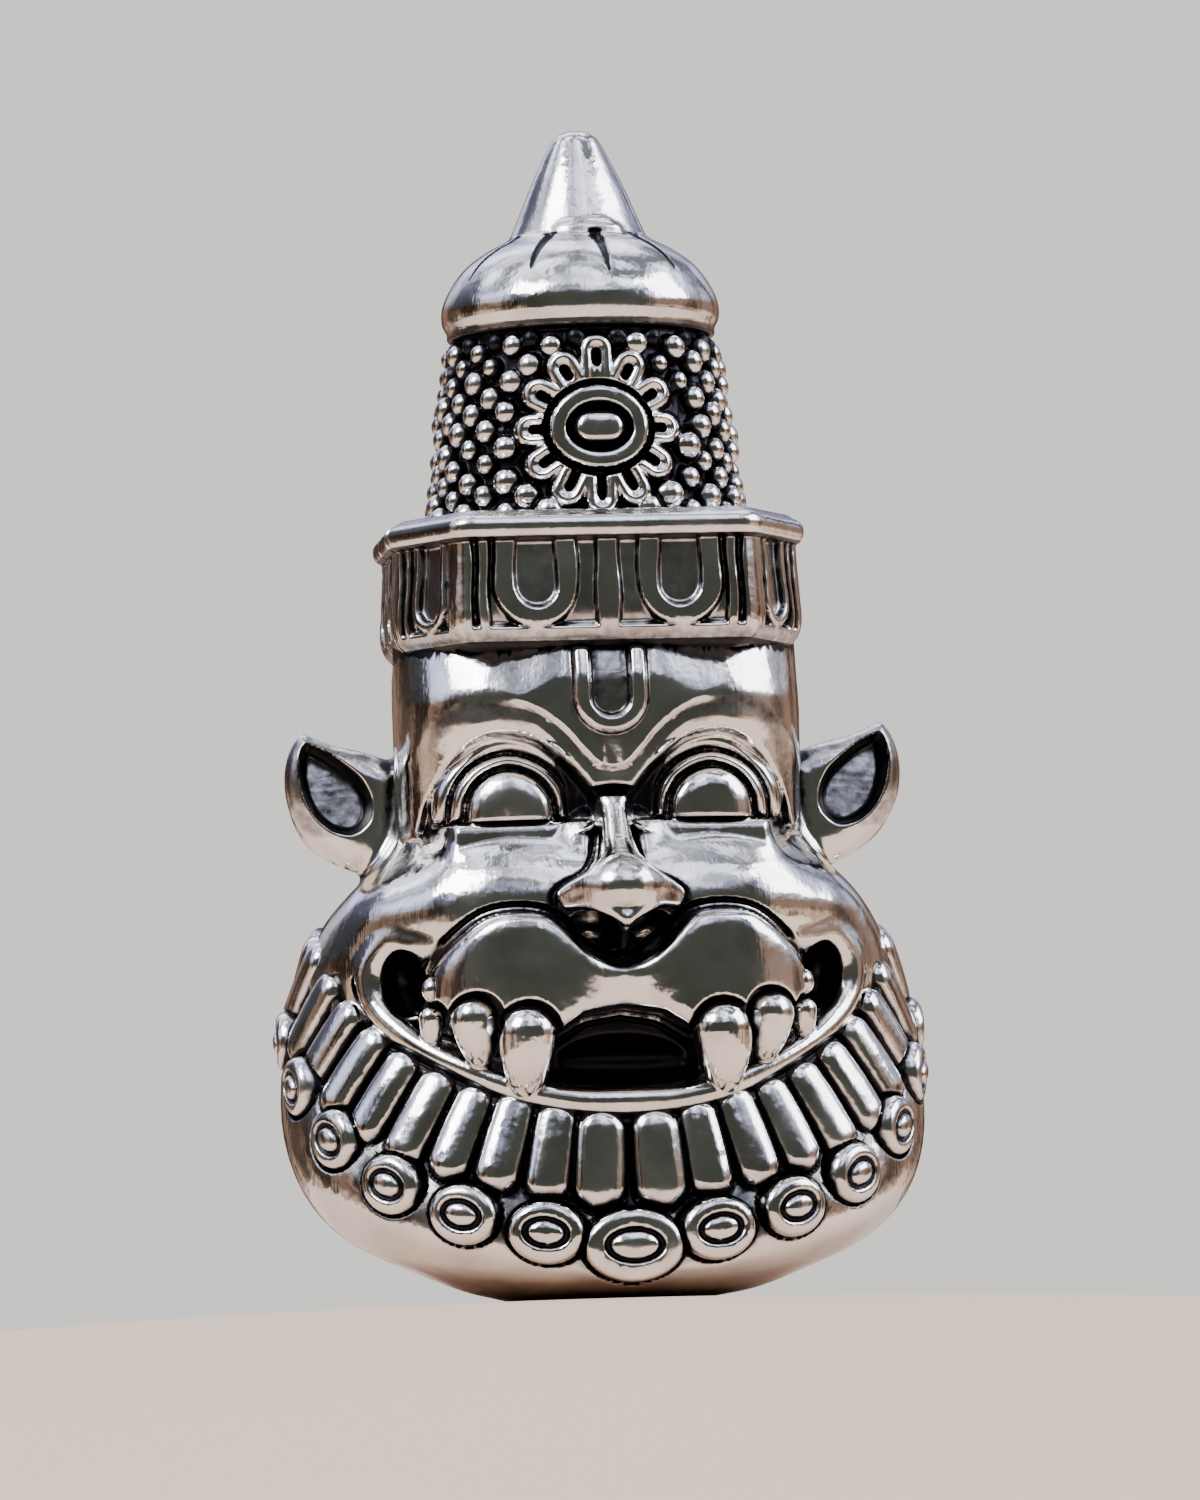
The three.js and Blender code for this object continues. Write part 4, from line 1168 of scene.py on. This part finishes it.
    def muzzle(self) -> None:
        """Two broad lobes that face forwards under a rim, joined by a hollowed saddle below the nose."""
        clay = self.clay
        x, z = clay.front_plane()
        outline = outline_distance(x, z, np.vstack([curve_through(self.MUZZLE_RIM, 5), self.MUZZLE_FOOT]))
        reach = 3.7 + 4.6 * rounded(x / self.front_half, 2.7, 1.0 / 2.7) - 0.035 * (z - 10.7) ** 2
        hollow = np.exp(-(x / 1.25) ** 2)
        reach = reach - 0.42 * hollow - 0.30 * hollow * smooth_step(11.2, 9.4, z)
        cut = clay.window((-0.1, -9.8, 8.0), (7.6, -2.0, 13.8))
        _, py, pz = clay.places(cut)
        mask = clay.pane(outline, cut)
        front = -py - clay.pane(reach, cut)
        mass = smooth_max(smooth_max(front, mask, 0.5), mask - 0.12 * smooth_step(11.0, 10.0, pz), 0.9)
        mass = np.maximum(mass, py + 2.5)
        trench = np.maximum(np.abs(mask - 0.09) - 0.07, -py - 9.0)
        old = smooth_max(clay.depth[cut], -np.maximum(trench, -0.12 - clay.depth[cut] - 0.2), 0.1)
        clay.depth[cut] = smooth_min(old, mass, 0.06)

    def jaw(self) -> None:
        """Open mouth, lower lip rail that curls round the mouth's corner, chin and jaw roll."""
        clay = self.clay
        clay.add(Ball((0.0, -4.7, 6.6), (5.6, 2.7, 1.1)), 0.5)
        mouth = [(0.0, -7.3, 8.35), (1.2, -7.3, 8.2), (2.3, -6.9, 7.9), (3.6, -6.3, 8.0), (5.0, -5.5, 8.5)]
        clay.carve(Roll(mouth, [0.95, 0.95, 0.8, 0.7, 0.5]), 0.1)
        clay.carve(Ball((0.0, -6.6, 7.9), (2.6, 1.7, 0.95)), 0.1)
        clay.add(Roll(self.LIP_RAIL, self.LIP_RADII), 0.3)
        clay.add(Roll(self.JAW_ROLL, [0.4, 0.45, 0.55, 0.6, 0.65, 0.7, 0.8]), 0.5)
        clay.carve(Ball((7.05, -4.5, 10.65), (0.72, 1.5, 1.15), lean=8.0), 0.15)
        clay.carve(Roll([(8.35, -3.2, 11.6), (8.5, -3.3, 10.6), (8.2, -3.8, 9.6)], [0.06, 0.24, 0.06]), 0.08)
        clay.carve(Ball((6.85, -3.35, 10.75), (0.2, 0.3, 0.2)), 0.05)
        x, z = clay.front_plane()
        seam, _ = stroke_distance(x, z, curve_through(self.JAW_LINE, 4))
        clay.emboss(-0.12 * smooth_step(0.2, 0.0, seam), ON_SIDES)
        clay.paint_front(0.95 * smooth_step(0.24, 0.12, seam), ON_SIDES)
        across = smooth_step(7.2, 6.6, x) * smooth_step(1.9, 2.3, x)
        clay.polish_front(0.45 * smooth_step(6.6, 7.0, z) * smooth_step(10.9, 10.4, z) * across)
        clay.blacken(Ball((0.0, -6.3, 8.0), (2.9, 1.5, 1.25)), 1.0, 0.15)
        clay.blacken(Ball((7.0, -3.7, 10.8), (0.75, 1.2, 1.15), lean=8.0), 1.0, 0.15)

    def tooth(self, root: Point, radius: float, length: float, lean: float) -> Roll:
        """Tapering tooth that hangs from its root.

        Args:
            root: centre of the round root.
            radius: radius of the root.
            length: drop from the root's top to the tip.
            lean: sideways drift of the tip, outwards above zero.

        Returns:
            The tooth's shape.
        """
        x, y, z = root
        drop = length - radius
        points = [
            (x, y, z), (x + 0.3 * lean, y + 0.06, z - 0.3 * drop),
            (x + 0.7 * lean, y + 0.36, z - 0.68 * drop), (x + lean, y + 0.7, z - drop + 0.2),
        ]
        return Roll(points, [radius, 0.90 * radius, 0.60 * radius, 0.24])

    def teeth(self) -> None:
        """Fang, middle tooth and slim outer tooth, each with a black line over its root."""
        for root, radius, length, lean in (
            ((3.25, -7.45, 8.75), 1.02, 3.15, 0.10),
            ((4.95, -6.75, 9.3), 0.82, 2.5, -0.28),
            ((6.25, -5.45, 9.45), 0.46, 1.75, 0.0),
        ):
            x, y, z = root
            grow = radius + 0.12
            self.clay.carve(Roll([(x, y - 0.9, z), (x, y + 0.3, z)], [grow, grow]), 0.05)
            self.clay.add(self.tooth(root, radius, length, lean), 0.03)
        self.clay.carve(Ball((6.2, -5.75, 10.42), (0.52, 0.6, 0.56)), 0.05)
        self.clay.add(Ball((6.2, -5.7, 10.4), (0.42, 0.45, 0.46)), 0.03)

    def ear(self) -> None:
        """Pointed leaf-shaped ear with a rolled rim and a dark hollow."""
        clay = self.clay
        x, z = clay.front_plane()
        outline = outline_distance(x, z, curve_through(self.EAR, 5, closed=True))
        hollow = outline_distance(x, z, curve_through(self.EAR_HOLLOW, 5, closed=True))
        cut = clay.window((5.6, -1.9, 14.0), (11.4, 2.6, 20.2))
        px, py, pz = clay.places(cut)
        mask, well = clay.pane(outline, cut), clay.pane(hollow, cut)
        slab = smooth_max(mask, np.abs(py - 0.15) - 0.8, 1.3)
        back = Ball((8.5, 0.8, 16.9), (1.7, 0.95, 1.9), lean=35.0).distance(px, py, pz)
        cup = smooth_min(slab, back, 0.5)
        depth = (0.85 + 0.26 * (pz - 17.2)) * smooth_step(0.08, -0.32, well) ** 0.7
        cup = smooth_max(cup, -smooth_max(well, py - (-0.65 + depth), 0.3), 0.15)
        clay.depth[cut] = smooth_min(clay.depth[cut], cup, 0.45)
        rim = smooth_step(-0.62, -0.12, hollow) * smooth_step(0.03, -0.06, hollow)
        clay.paint_front(np.maximum(0.7 * rim, 0.22 * smooth_step(0.0, -0.3, hollow)), 1.2)
        clay.polish_front(0.75 * smooth_step(-0.25, -0.6, hollow))
        clay.carve(Roll([(6.95, -1.6, 18.7), (7.0, -1.8, 17.4), (7.2, -2.2, 16.2), (7.3, -2.8, 15.4)],
                        [0.1, 0.22, 0.22, 0.08]), 0.15)


@dataclass
class Collar:
    """Garland of long petals over a row of oval beads, on a smooth rounded shell."""

    step: float = 0.075
    petals: int = 38
    bare_nape: int = 5
    beads: int = 23
    half_width: float = 10.62
    front: float = 8.15
    back: float = 7.8
    bead_row: float = 1.62
    petal_row: float = 4.45
    petal_half: float = 1.78
    granules: int = 130
    bead_climb: float = 7.3
    petal_climb: float = 6.4
    nape_climb: float = 0.33
    petal_inset: float = 0.85
    petal_inset_behind: float = 0.5
    bead_inset: float = 0.05
    half_from: float = -0.2
    clay: Clay = field(init=False)

    # Rings of the shell: height in front, climb to the side, and the plan's side, front and back.
    SHELL = [
        (0.0, 0.0, 0.0, 0.0, 0.0), (0.0, 0.0, 3.2, 4.2, 3.6), (0.12, 0.35, 4.9, 6.2, 4.8),
        (0.4, 0.95, 6.8, 7.3, 5.9), (0.7, 1.9, 9.1, 7.8, 6.9), (1.0, 3.2, 10.4, 7.95, 7.5),
        (1.3, 5.0, 10.95, 8.0, 7.9), (2.0, 7.0, 10.75, 7.9, 7.9), (3.7, 6.6, 10.1, 7.2, 7.5),
        (5.9, 5.4, 8.6, 6.3, 7.0), (7.5, 4.0, 5.0, 4.0, 5.0), (7.6, 3.9, 0.0, 0.0, 0.0),
    ]

    def climb(self, angle: float) -> float:
        """Share of the climb reached at an angle from the front."""
        behind = abs(angle) - math.pi / 2
        if behind < 0:
            swell = 0.04 * math.exp(-((abs(angle) - 0.36) / 0.24) ** 2)
            return 1.0 - math.cos(angle) + swell
        return 1.0 + self.nape_climb * math.sin(behind)

    def plan_point(self, side: float, front: float, back: float, angle: float) -> tuple[float, float]:
        """Point of an oval plan at an angle from the front."""
        deep = front if math.cos(angle) > 0 else back
        return side * math.sin(angle), -deep * math.cos(angle)

    def shell(self) -> None:
        """Smooth rounded underside and the ground of the garland."""
        clay = self.clay
        around = np.linspace(0.0, math.pi, 61)
        stride = 0.12
        radii = np.arange(0.0, 14.0, stride)
        table = []
        for angle in around:
            rings = []
            for z, climb, side, front, back in self.SHELL:
                px, py = self.plan_point(side, front, back, angle)
                rings.append((math.hypot(px, py), z + climb * self.climb(angle)))
            profile = np.vstack([(0.0, rings[0][1]), curve_through(rings[1:-1], 4), (0.0, rings[-1][1])])
            table.append(outline_distance(radii[:, None], clay.z[0], profile))
        table = np.array(table, dtype=np.float32)
        x, y = clay.x[:, :, 0], clay.y[:, :, 0]
        turn = self.plan_angle(np.abs(x), y) / math.pi * (len(around) - 1)
        reach = np.hypot(x, y) / stride
        i = np.minimum(turn.astype(int), len(around) - 2)
        j = np.minimum(reach.astype(int), len(radii) - 2)
        fi, fj = (turn - i)[:, :, None], (reach - j)[:, :, None]
        near, far = (table[k, j] * (1 - fj) + table[k, j + 1] * fj for k in (i, i + 1))
        body = near * (1 - fi) + far * fi
        clay.depth = np.minimum(clay.depth, body.astype(np.float32))

    def plan_angle(self, x: Array, y: Array) -> Array:
        """Angle of the oval plan whose ray passes through a place, from the front."""
        deep = np.where(y < 0, self.front, self.back)
        return np.arctan2(x / self.half_width, -y / deep)

    def sculpt(self) -> None:
        """Builds the collar's clay."""
        self.clay = Clay((0.0, -9.4, -0.5), (11.6, 9.2, 13.0), self.step, Side.RIGHT_HALF)
        self.shell()
        self.granulate()
        self.dull_ground()
        for index in range(self.bare_nape, self.petals - self.bare_nape):
            self.petal(index)
        for index in range(self.beads):
            self.bead(index)

    def local(self, centre: Point, facing: float, roll: float, tilt: float, reach: float) -> tuple:
        """Window around a place on the garland and its own axes there.

        Args:
            centre: the place.
            facing: turn about Z from the front, in radians.
            roll: lean along the row's climb, in radians.
            tilt: nod forwards, in radians.
            reach: half size of the window.

        Returns:
            The window and the coordinates across, outward and up.
        """
        cut = self.clay.window(tuple(c - reach for c in centre), tuple(c + reach for c in centre))
        x, y, z = self.clay.places(cut)
        return cut, *along_axes(x, y, z, centre, own_axes(facing, roll, tilt))

    def petal(self, index: int) -> None:
        """Long rounded petal; the ones in the middle are the widest."""
        angle = 2 * math.pi * (index + 0.5) / self.petals - math.pi
        if angle < self.half_from:
            return
        angle += 0.016 * math.copysign(math.exp(-(angle / 0.4) ** 2), angle)
        side, front = self.half_width - self.petal_inset, self.front - self.petal_inset
        back = self.back - self.petal_inset_behind
        px, py = self.plan_point(side, front, back, angle)
        facing = math.atan2(px / side ** 2, -py / front ** 2)
        height = self.petal_row + self.petal_climb * self.climb(angle)
        tilt = math.radians(14 * math.exp(-(angle / 0.3) ** 2) - 16)
        place = (px, py, height)
        cut, across, outward, up = self.local(place, facing, -0.62 * math.sin(angle), tilt, 2.6)
        if not self.clay.depth[cut].size:
            return
        draw = np.random.default_rng(index)
        middle = math.exp(-(angle / 0.16) ** 2)
        half = self.petal_half * draw.uniform(0.98, 1.04)
        t = np.clip((half - up) / (2 * half), 0.0, 1.0)
        broad = (0.80 + 0.17 * middle) * draw.uniform(0.97, 1.03)
        width = broad * (0.84 + 0.16 * np.sin(0.5 * math.pi * np.clip(t / 0.6, 0.0, 1.0)))
        end = np.maximum(np.abs(up) - (half - 0.95 * broad), 0.0)
        round_part = (np.abs(across) ** 2.1 + end ** 2.1) ** (1.0 / 2.1)
        d = (round_part ** 2.4 + np.abs(outward * 1.2) ** 2.4) ** (1.0 / 2.4) - width
        gap = smooth_max(self.clay.depth[cut], -(d - 0.06), 0.05)
        self.clay.depth[cut] = np.minimum(gap, d * 0.9)

    def bead(self, index: int) -> None:
        """Oval bead with a flat raised rim, a fine dark groove and a raised middle."""
        angle = 2 * math.pi * index / self.beads
        folded = angle - 2 * math.pi if angle > math.pi else angle
        if folded < self.half_from:
            return
        side = self.half_width - self.bead_inset
        px, py = self.plan_point(side, self.front, self.back, folded)
        facing = math.atan2(px / side ** 2, -py / self.front ** 2)
        height = self.bead_row + self.bead_climb * self.climb(folded)
        near = math.exp(-(folded / 0.2) ** 2)
        wide = 1.31 + 0.37 * near - 0.18 * min(1.0, abs(folded))
        tall = 1.02 + 0.20 * near
        place = (px, py, height)
        cut, across, outward, up = self.local(place, facing, -0.55 * math.sin(folded), math.radians(1), 2.5)
        if not self.clay.depth[cut].size:
            return
        rho = np.hypot(across / wide, up / tall)
        mean = (wide + tall) / 2
        rim = (rho - 1.0) * mean
        cushion = 0.24 * np.sqrt(np.clip(1.0 - 0.9 * rho ** 3.4, 0.0, 1.0))
        oval = np.hypot(across / (0.54 * wide), up / (0.43 * tall))
        line = np.abs(oval - 1.0) * 0.47 * mean
        groove = 0.17 * smooth_step(0.13, 0.03, line)
        boss = 0.10 * smooth_step(1.0, 0.2, oval)
        face = -outward - (0.26 + cushion - groove + boss)
        d = smooth_max(rim, face, 0.32)
        trench = np.maximum(rim - 0.07, -outward - 1.2)
        gap = smooth_max(self.clay.depth[cut], -np.maximum(trench, -(self.clay.depth[cut] + 0.35)), 0.05)
        self.clay.depth[cut] = np.minimum(gap, np.maximum(d, outward - 1.0))
        self.clay.paint(0.75 * smooth_step(0.11, 0.05, line) * smooth_step(0.0, -0.2, outward), cut)

    def dull_ground(self) -> None:
        """Leaves the low ground between the beads and the petals grey with oxide."""
        clay = self.clay
        x, y = clay.x[:, :, 0], clay.y[:, :, 0]
        angle = self.plan_angle(np.abs(x), y)
        behind = np.maximum(angle - math.pi / 2, 0.0)
        share = np.where(behind > 0.0, 1.0 + self.nape_climb * np.sin(behind), 1.0 - np.cos(angle))
        share = share[:, :, None]
        low = self.bead_row + self.bead_climb * share
        high = self.petal_row + self.petal_climb * share + 1.2
        zone = smooth_step(low + 0.1, low + 0.5, clay.z) * smooth_step(high + 0.3, high - 0.3, clay.z)
        clay.paint((0.36 * zone * smooth_step(0.16, 0.04, clay.depth)).astype(np.float32))

    def granulate(self) -> None:
        """Small rough grains in the dark ground between the petals and the beads."""
        draw = np.random.default_rng(3)
        side, front, back = self.half_width - 0.55, self.front - 0.55, self.back - 0.35
        for _ in range(self.granules):
            angle, rise, size = draw.uniform(0.0, 2.6), draw.uniform(0.95, 1.6), draw.uniform(0.10, 0.22)
            px, py = self.plan_point(side, front, back, angle)
            height = self.bead_row + rise + self.bead_climb * self.climb(angle)
            self.clay.add(Ball((px, py, height), (size, size, size)), 0.05)


@dataclass
class Studio:
    """Plain pale stage, soft light and the camera at the photograph's viewing angle, in millimetres."""

    axis_depth: float
    azimuth: float = -6.3
    elevation: float = -4.3
    roll: float = 1.67
    distance: float = 350.0
    picture_height: float = 51.107
    aim_side: float = 0.25
    aim_height: float = 18.75
    floor_radius: float = 400.0
    floor_reach: float = 600.0
    floor_slope: float = 12.0
    floor_rings: int = 60
    floor_sides: int = 96
    floor_colour: Point = (0.72, 0.53, 0.39, 1.0)
    sensor: float = 36.0
    warm: Point = (0.62, 0.43, 0.31)
    brown: Point = (0.165, 0.105, 0.078)
    grey: Point = (0.36, 0.36, 0.42)
    lavender: Point = (0.68, 0.71, 1.08)
    sky: Point = (1.38, 1.45, 1.76)
    card: Point = (0.060, 0.066, 0.054, 1.0)
    backdrop: Point = (1.0, 0.985, 0.96, 1.0)
    patch_scale: float = 2.8
    patch_range: Point = (0.16, 2.0)

    def floor(self) -> None:
        """Pale floor, very slightly domed, because the camera looks up at the head from low down."""
        rings, around = self.floor_rings, self.floor_sides
        steep = math.tan(math.radians(self.floor_slope))
        knee = self.floor_radius * steep
        turns = [2 * math.pi * k / around for k in range(around)]
        verts = [(0.0, self.axis_depth * MM, 0.0)]
        for i in range(1, rings + 1):
            r = self.floor_reach * (i / rings) ** 1.6
            drop = r * r / (2 * self.floor_radius) if r < knee else knee * steep / 2 + (r - knee) * steep
            for a in turns:
                verts.append((r * math.cos(a) * MM, (self.axis_depth + r * math.sin(a)) * MM, -drop * MM))
        pairs = [(k, (k + 1) % around) for k in range(around)]
        faces = [(0, 1 + k, 1 + n) for k, n in pairs]
        for base in range(1, 1 + (rings - 1) * around, around):
            faces += [(base + k, base + around + k, base + around + n, base + n) for k, n in pairs]
        data = bpy.data.meshes.new("floor")
        data.from_pydata(verts, [], faces)
        data.shade_smooth()
        floor = put("floor", data)
        paint = bpy.data.materials.new("floor_paint")
        paint.use_nodes = True
        shader = paint.node_tree.nodes["Principled BSDF"]
        shader.inputs["Base Color"].default_value = self.floor_colour
        shader.inputs["Roughness"].default_value = 0.8
        data.materials.append(paint)

    def surroundings(self) -> None:
        """Room seen in the metal: a dark card in front, bright above, brown at eye level, warm below."""
        world = bpy.data.worlds.new("room")
        bpy.context.scene.world = world
        world.use_nodes = True
        graph = Graph(world.node_tree)
        direction = graph.node("TexCoord").outputs["Generated"]
        split = graph.node("SeparateXYZ", {"Vector": direction})

        def ramp(axis: str, stops: list[tuple[float, Point]]) -> bpy.types.NodeSocket:
            """Colour by the direction's share along an axis, with soft steps."""
            share = graph.spread(split.outputs[axis], -1.0, 1.0)
            node = graph.node("ValToRGB", {"Fac": share})
            node.color_ramp.interpolation = "EASE"
            elements = node.color_ramp.elements
            while len(elements) < len(stops):
                elements.new(0.5)
            for element, (at, colour) in zip(elements, stops):
                element.position = (at + 1.0) / 2.0
                element.color = (*colour, 1.0)
            return node.outputs["Color"]

        off, full = (0.0,) * 3, (1.0,) * 3
        around = ramp("Z", [
            (-0.30, self.warm), (-0.12, self.warm), (0.0, self.brown), (0.16, self.brown), (0.27, self.grey),
            (0.46, self.lavender), (0.72, self.sky),
        ])
        front = ramp("Y", [(-1.0, full), (-0.62, full), (-0.48, off)])
        height = ramp("Z", [(-0.36, off), (-0.2, full), (0.46, full), (0.60, off)])
        upright = graph.node("Mapping", {"Vector": direction, "Scale": (1.0, 1.0, 0.55)})
        clutter = graph.noise(upright.outputs["Vector"], self.patch_scale, 3.0, 0.6)
        patches = graph.spread(clutter, 0.42, 0.62, *self.patch_range)
        shaded = graph.node("VectorMath", {0: around, "Scale": patches}, operation="SCALE").outputs["Vector"]
        metal_sees = graph.blend(graph.reckon("MULTIPLY", front, height), shaded, self.card)
        to_camera = graph.node("LightPath").outputs["Is Camera Ray"]
        seen = graph.blend(to_camera, metal_sees, self.backdrop)
        graph.feed(world.node_tree.nodes["Background"].inputs["Color"], seen)

    def lamp(self, name: str, place: Point, size: float, power: float, colour: Point) -> None:
        """Soft square light that looks at the head.

        Args:
            name: its name.
            place: where it stands, in millimetres.
            size: width in millimetres.
            power: strength in watts.
            colour: its tint.
        """
        light = bpy.data.lights.new(name, "AREA")
        light.size = size * MM
        light.energy = power
        light.color = colour
        made = put(name, light)
        made.location = Vector(place) * MM
        aim = Vector((0.0, 0.0, self.aim_height * MM)) - made.location
        made.rotation_euler = aim.to_track_quat("-Z", "Y").to_euler()

    def camera(self) -> None:
        """Long lens a little below the middle, turned slightly, as the photograph was taken."""
        side, rise, lean = (math.radians(a) for a in (self.azimuth, self.elevation, self.roll))
        back = Vector((math.sin(side) * math.cos(rise), -math.cos(side) * math.cos(rise), math.sin(rise)))
        right = Vector((math.cos(side), math.sin(side), 0.0))
        up = back.cross(right)
        tilted_right = right * math.cos(lean) - up * math.sin(lean)
        tilted_up = right * math.sin(lean) + up * math.cos(lean)
        data = bpy.data.cameras.new("camera")
        data.sensor_fit = "VERTICAL"
        data.sensor_height = self.sensor
        data.lens = self.sensor * self.distance / self.picture_height
        data.clip_start = 0.01
        data.clip_end = 10.0
        view = put("camera", data)
        aim = Vector((self.aim_side, self.axis_depth, self.aim_height)) * MM
        turned = Matrix((tilted_right, tilted_up, back)).transposed().to_4x4()
        turned.translation = aim + back * self.distance * MM
        view.matrix_world = turned
        bpy.context.scene.camera = view

    def build(self) -> None:
        """Sets the stage."""
        self.floor()
        self.surroundings()
        self.lamp("key", (-260.0, -160.0, 300.0), 200.0, 1.6, (1.0, 0.99, 0.97))
        self.lamp("fill", (300.0, -60.0, 220.0), 220.0, 1.0, (0.96, 0.97, 1.0))
        self.camera()


def place_piece(piece: bpy.types.Object) -> None:
    """Attaches a piece of the casting to its body and hides the CAD solid that it stands for."""
    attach(piece, BODY)
    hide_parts(NODE)


def main() -> None:
    """Builds the casting region by region, then the stage."""
    logging.basicConfig(level=logging.INFO, format="%(name)s: %(message)s")
    axis_depth = CAD_BOX[0][1] / MM + NOSE_REACH
    silver = SilverFinish().material()
    caster = Caster(axis_depth)
    for region, parts in (
        (Crown(), {"crown": Part.ALL}),
        (Headband(), {"headband": Part.ALL}),
        (Face(), {"face": Part.FRONT, "nape": Part.BACK}),
        (Collar(), {"collar": Part.FRONT, "collar_nape": Part.BACK}),
    ):
        region.sculpt()
        for name, part in parts.items():
            piece = caster.mesh(name, region.clay, silver, part)
            place_piece(piece)
            log.info("%s: %d faces", name, len(piece.data.polygons))
        region.clay = None
    Studio(axis_depth).build()


if __name__ == "__main__":
    main()
